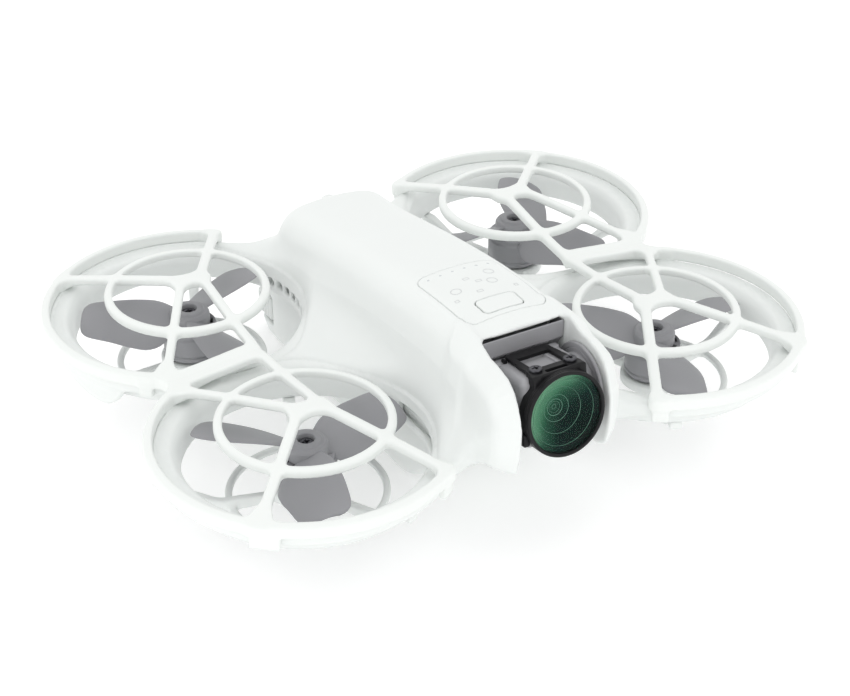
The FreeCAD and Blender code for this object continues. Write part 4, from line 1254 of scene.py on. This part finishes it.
def filter_parts(black, pane_glass, bowl_glass, ring_glass):
    """The screw-on filter, and the deep coated lens that shows through it."""
    seat, depth = RING_R - 0.85, RING_REAR - RING_FRONT
    ring = [(RING_R - 0.1, 0.1), (RING_R, 0.35), (RING_R, 0.8), (RING_R - 0.12, 0.9),
            (RING_R, 1.0), (RING_R, 1.3), (RING_R - 0.12, 1.4), (RING_R, 1.5), (RING_R, depth),
            (7.8, depth), (7.8, 1.3), (seat, 1.3), (seat, 0.25), (RING_R - 0.62, 0.0),
            (RING_R - 0.3, 0)]
    camera_piece("filter_ring_turned", lens_form(eased(ring, 0.08)), black,
                 ["filter_ring"], 25)
    pane = [(0, 0.45), (seat - 0.03, 0.45), (seat - 0.03, 0.95), (0, 0.95)]
    camera_piece("filter_glass_pane", lens_form(pane, closed=False), pane_glass,
                 ["filter_glass"], 25)
    barrel = [(seat - 0.1, 1.4), (seat - 0.1, 1.7), (7.65, depth + 0.05), (7.65, 3.38),
              (5.5, 3.38), (5.5, 3.3), (6.6, 2.6), (7.9, 1.5)]
    camera_piece("lens_barrel_turned", lens_form(eased(barrel, 0.05)), black,
                 ["lens_barrel"])
    bowl = [(0, 5.2), (0.8, 5.13), (1.6, 4.9), (2.4, 4.55), (3.2, 4.14), (4.2, 3.6), (5.2, 3.0),
            (6.2, 2.25), (7.3, 1.5), (seat - 0.02, 1.05),
            (seat - 0.02, 1.35), (7.5, 1.8), (6.4, 2.6), (5.3, 3.3), (3.2, 4.3), (2.0, 5.2),
            (0, 6.0)]
    camera_piece("lens_glass_bowl", lens_form(bowl, closed=False), bowl_glass,
                 ["lens_glass"])
    rings = []
    for radius, depth, width in ((0.5, 5.13, 0.05), (1.3, 4.97, 0.03), (1.85, 4.78, 0.07),
                                 (3.0, 4.22, 0.05), (5.2, 2.96, 0.04), (7.35, 1.42, 0.03)):
        band = [(radius - width, depth), (radius, depth - 0.06), (radius + width, depth),
                (radius, depth + 0.1)]
        rings.append(lens_form(band, sides=96))
    camera_piece("lens_reflection_rings", merged(*rings), ring_glass)


def liner_field(x, y, z):
    """Grey liner of the camera bay: a block with a hollow that clears the tilting camera."""
    block = span_field(x, y, z, (-10.2, -44.1, 20.6), (10.2, -38.2, 46.1), 0.35)
    floor = span_field(x, y, z, (-10.2, -47.0, 20.6), (10.2, -38.3, 21.6), 0.3)
    turn = np.degrees(np.arctan2(z - TILT_Z, y - TILT_Y))
    ribbed = (np.abs((turn / 9) % 1 - 0.5) < 0.09) & (np.abs(x) < 7)
    sweep = 11.4 - 1.7 * np.clip((z - 36) / 3, 0, 1) + 0.3 * ribbed
    hollow = sweep - np.hypot(y - TILT_Y, z - TILT_Z)
    return np.maximum(np.minimum(block, floor), hollow)


def tilt_parts(grey, metal):
    """The tilt motor's disc in the left cheek, its shaft, and the pin in the right cheek."""
    centre = (0, TILT_Y, TILT_Z)
    gap = 8.6
    disc = [(0, gap), (2.0, gap), (2.2, gap + 0.15), (4.4, gap + 0.15), (4.6, gap), (5.7, gap),
            (6.0, gap + 0.3), (6.0, 9.8), (6.8, 9.8), (6.95, 9.95), (7.1, 9.8), (8.0, 9.8),
            (8.2, 9.95), (8.2, 10.55), (0, 10.55)]
    disc = [(r, -x) for r, x in disc]
    points, faces = turned(disc, 96, closed=False)
    stub = turned([(0, -6.3), (0.98, -6.3), (0.98, -9.2), (0, -9.2)], 24, closed=False)
    points, faces = merged((points, faces), stub)
    points = upright(points, "X") * (-1, 1, 1) + centre
    piece = mesh_object("tilt_motor_disc", points, faces)
    dress(crisp(piece), grey, "root", ["tilt_motor"])
    pin = [(0, -10.55), (2.6, -10.55), (2.6, -10.2), (2.1, -9.1), (1.0, -9.0), (0.98, -6.3),
           (0, -6.3)]
    piece = lathe("tilt_pin_turned", pin, centre, "X", 48, closed=False)
    dress(crisp(piece), metal, "root", ["tilt_pin"])


def camera(grey, black, pane_glass, bowl_glass, ring_glass, steel, liner_grey, metal):
    housing = solid(housing_field, (-9, -59, 25.5), (9, -41, 43), SMALL)
    camera_piece("camera_housing_moulding", housing, grey,
                 ["camera_housing"], 50)
    bracket = solid(bracket_field, (-11, -60.5, 23), (11, -46, 44.5), SMALL)
    camera_piece("filter_bracket_moulding", bracket, black, ["filter_bracket"],
                 40)
    filter_parts(black, pane_glass, bowl_glass, ring_glass)
    form = screw_solid(1.45, 0.8, 0.6, 2.6)
    heads = [placed_form(form, (x, SCREW_Y, CAMERA_HIGH[2] + 1.0)) for x in (-SCREW_X, SCREW_X)]
    camera_piece("filter_screw_set", merged(*heads), steel, ["filter_screws"])
    piece = moulding("bay_liner_moulding", liner_field, (-11, -48, 20), (11, -37.5, 46), SMALL)
    dress(crisp(piece, 40), liner_grey, "root", ["bay_liner"])
    tilt_parts(liner_grey, metal)


# ---------------------------------------------------------------- battery and tail

def pack_field(x, y, z):
    """Battery case: a rounded block, latch pockets, guide grooves and a grip at the tail."""
    low, high = PACK_LOW, PACK_HIGH
    block = span_field(x, y, z, low, high, 1.5)
    ax = np.abs(x)
    pockets = span_field(ax, y, z, (11.0, 44.8, 5.8), (30, 53.2, 13.2), 0.5)
    guides = span_field(ax, y, z, (low[0] * -1 - 0.5, -20, 8.6), (30, 40, 10.4), 0.3)
    body = np.maximum(block, -np.minimum(pockets, guides))
    for number in range(4):
        groove = np.hypot((z - 4.4 - 1.5 * number) / 0.45, (y - high[1]) / 0.35) - 1
        body = np.maximum(body, -np.maximum(groove * 0.35, ax - 7.5))
    for number in range(4):
        light = np.hypot(x + 4.5 - 3 * number, z - 14.5) - 0.66
        body = np.maximum(body, -np.maximum(light, high[1] - 1.0 - y))
    contacts = np.maximum(tile_field(x, z - 9, 5.2, 2.2, 0.4), y - low[1] - 1.0)
    return np.maximum(body, -contacts)


def latch_field(x, y, z):
    """A latch's rounded press pad with grip ribs, in x above 0."""
    pad = span_field(x, y, z, (12.6, 45.1, 6.1), (17.45, 52.9, 12.9), 1.0)
    for number in range(4):
        rib = np.hypot((y - 46.6 - 1.55 * number) / 0.42, (x - 17.5) / 0.45) - 1
        pad = np.maximum(pad, -np.maximum(rib * 0.4, np.abs(z - 9.5) - 2.6))
    return pad


def port_field(x, y, z):
    """Charging socket: an oblong metal tongue shell in the tail wall."""
    shell = np.maximum(tile_field(x, z - 30, 4.55, 1.55, 1.5), np.abs(y - 44) - 3.0)
    hole = np.maximum(tile_field(x, z - 30, 4.1, 1.1, 1.05), 42.0 - y)
    tongue = np.maximum(tile_field(x, z - 30, 3.2, 0.36, 0.2), np.abs(y - 43.8) - 2.0)
    return np.minimum(np.maximum(shell, -hole), tongue)


def battery_and_tail(case, lens, metal, button):
    piece = moulding("battery_case_moulding", pack_field, (-16, -10, 0.5), (16, 56.5, 18.5),
                     FINE * 0.7)
    dress(crisp(piece, 50), case, "battery", ["battery_case"])
    points, quads = solid(latch_field, (12, 44.5, 5.5), (18.5, 53.5, 13.5), SMALL)
    for name, side in (("left", 1), ("right", -1)):
        faces = quads if side > 0 else quads[:, ::-1]
        piece = mesh_object("latch_pad_" + name, points * (side, 1, 1), faces)
        dress(piece, button, "latch_" + name, ["battery_latch_" + name])
    domes = []
    for number in range(4):
        form, faces = turned(eased([(0, -0.9), (0.6, -0.9), (0.6, -0.1), (0, 0.0)], 0.08,
                                   closed=False), 20, closed=False)
        spot = (-4.5 + 3 * number, float(PACK_HIGH[1]), 14.5)
        domes.append((upright(form, "Y") + spot, faces))
    piece = mesh_object("level_light_lenses", *merged(*domes))
    dress(piece, lens, "battery", ["level_lights"])
    piece = moulding("charging_port_shell", port_field, (-5.2, 40.5, 27.8), (5.2, 47.6, 32.2),
                     SMALL * 0.8)
    dress(crisp(piece, 40), metal, "root", ["charging_port"])
    cap = [(0, 44.25), (2.35, 44.25), (2.35, 46.6), (1.9, 47.1), (1.2, 46.95), (0, 46.9)]
    piece = lathe("power_button_cap", eased(cap, 0.2, closed=False), (0, 0, 34.8), "Y", 48,
                  closed=False)
    dress(crisp(piece, 40), button, "power_button", ["power_button"])


def belly_lenses(glass, dark):
    """The downward camera's lens and the two range windows, all facing down."""
    lens = [(0, 0.75), (1.2, 0.62), (1.5, 0.75), (1.7, 0.45), (2.7, 0.42), (2.95, 0.65),
            (2.95, 3.7), (0, 3.7)]
    piece = lathe("downward_lens_stack", eased(lens, 0.1, closed=False), (0, -15.5, 0), "Z", 64,
                  closed=False)
    dress(crisp(piece, 25), glass, "root", ["downward_lens"])
    forms = []
    for x in (7.5, -7.5):
        window = [(0, 0.35), (1.3, 0.35), (1.4, 0.5), (1.75, 0.45), (1.75, 2.8), (0, 2.8)]
        points, faces = turned(eased(window, 0.08, closed=False), 48, closed=False)
        forms.append((points + (x, -15.5, 0), faces))
    piece = mesh_object("range_window_pair", *merged(*forms))
    dress(crisp(piece, 25), dark, "root", ["range_windows"])


def finish_cad_nodes():
    """Finishes for the CAD nodes that stay as they are, most of them inside the shells."""
    mask = board_green("solder_mask", (0.02, 0.12, 0.05))
    finishes = {
        "main_board": mask, "power_board": mask, "camera_board": mask, "battery_board": mask,
        "heat_spreader": moulded("rolled_aluminium", (0.6, 0.61, 0.62), 0.35, 0.1, 0.3, 0.05,
                                 1.0, (1, 12, 1)),
        "satellite_antenna": moulded("ceramic", (0.62, 0.56, 0.45), 0.45, 0.2, 0.2, 0.05),
        "radio_antennas": moulded("flex_film", (0.35, 0.22, 0.05), 0.3, 0.2, 0.15, 0.05),
        "battery_socket": moulded("socket_black", (0.03, 0.03, 0.03), 0.5, 0.15, 0.3, 0.1),
        "battery_cells": moulded("pouch_foil", (0.55, 0.57, 0.6), 0.3, 0.6, 0.6, 0.05, 0.9),
    }
    for node, material in finishes.items():
        for slot in frame["nodes"][node].material_slots:
            slot.material = material


# ---------------------------------------------------------------- build

studio()
WHITE = moulded("shell_white", (0.80, 0.825, 0.81), 0.42)
GUARD_WHITE = moulded("guard_white", (0.82, 0.845, 0.825), 0.4)
BUTTON_WHITE = moulded("button_white", (0.80, 0.825, 0.81), 0.36, 0.1, 0.2)
MARK_GREY = moulded("mark_grey", (0.66, 0.68, 0.68), 0.5)
LIGHT_LENS = moulded("light_lens", (0.62, 0.65, 0.66), 0.25)
BLADE_GREY = moulded("blade_grey", (0.29, 0.29, 0.305), 0.45, 0.15, 0.2, 0.04)
BELL_GREY = moulded("bell_grey", (0.29, 0.29, 0.305), 0.4, 0.12, 0.35, 0.05, 0.5, (1, 1, 8))
IRON = moulded("stator_iron", (0.12, 0.12, 0.13), 0.45, 0.1, 0.4, 0.1, 0.7, (1, 1, 12))
COPPER = moulded("enamelled_copper", (0.42, 0.13, 0.045), 0.3, 0.1, 0.2, 0.08, 0.9)
STEEL = moulded("plated_steel", (0.5, 0.5, 0.51), 0.3, 0.1, 0.3, 0.05, 0.95)
DARK_STEEL = moulded("blackened_steel", (0.09, 0.09, 0.1), 0.32, 0.1, 0.3, 0.08, 0.9)
CAMERA_GREY = moulded("camera_grey", (0.35, 0.35, 0.365), 0.5, 0.12, 0.3)
LINER_GREY = moulded("liner_grey", (0.34, 0.34, 0.355), 0.6, 0.15, 0.3)
BLACK = moulded("anodised_black", (0.009, 0.009, 0.010), 0.38, 0.08, 0.3, 0.15)
feed(BLACK.node_tree.nodes["Principled BSDF"], Specular_IOR_Level=0.2)
PANE_GLASS = clear_pane()
# Lens glass whose colour is a painted reflection gradient
BOWL_GLASS = glass_with_painted_reflection()
RING_GLASS = moulded("reflection_green", (0.20, 0.40, 0.30), 0.25, 0.1, 0.05)
LENS_DARK = moulded("lens_dark", (0.01, 0.012, 0.015), 0.08, 0.1, 0.02)
BATTERY_WHITE = moulded("battery_white", (0.76, 0.785, 0.775), 0.45)

fuselage(WHITE)
touch_panel(WHITE, MARK_GREY, LIGHT_LENS, BUTTON_WHITE)
guards(GUARD_WHITE)
mounts(WHITE)
motors_and_propellers(BELL_GREY, COPPER, IRON, BLADE_GREY)
screws(STEEL, DARK_STEEL)
camera(CAMERA_GREY, BLACK, PANE_GLASS, BOWL_GLASS, RING_GLASS, DARK_STEEL, LINER_GREY, STEEL)
battery_and_tail(BATTERY_WHITE, LIGHT_LENS, STEEL, BUTTON_WHITE)
belly_lenses(LENS_DARK, LENS_DARK)
finish_cad_nodes()
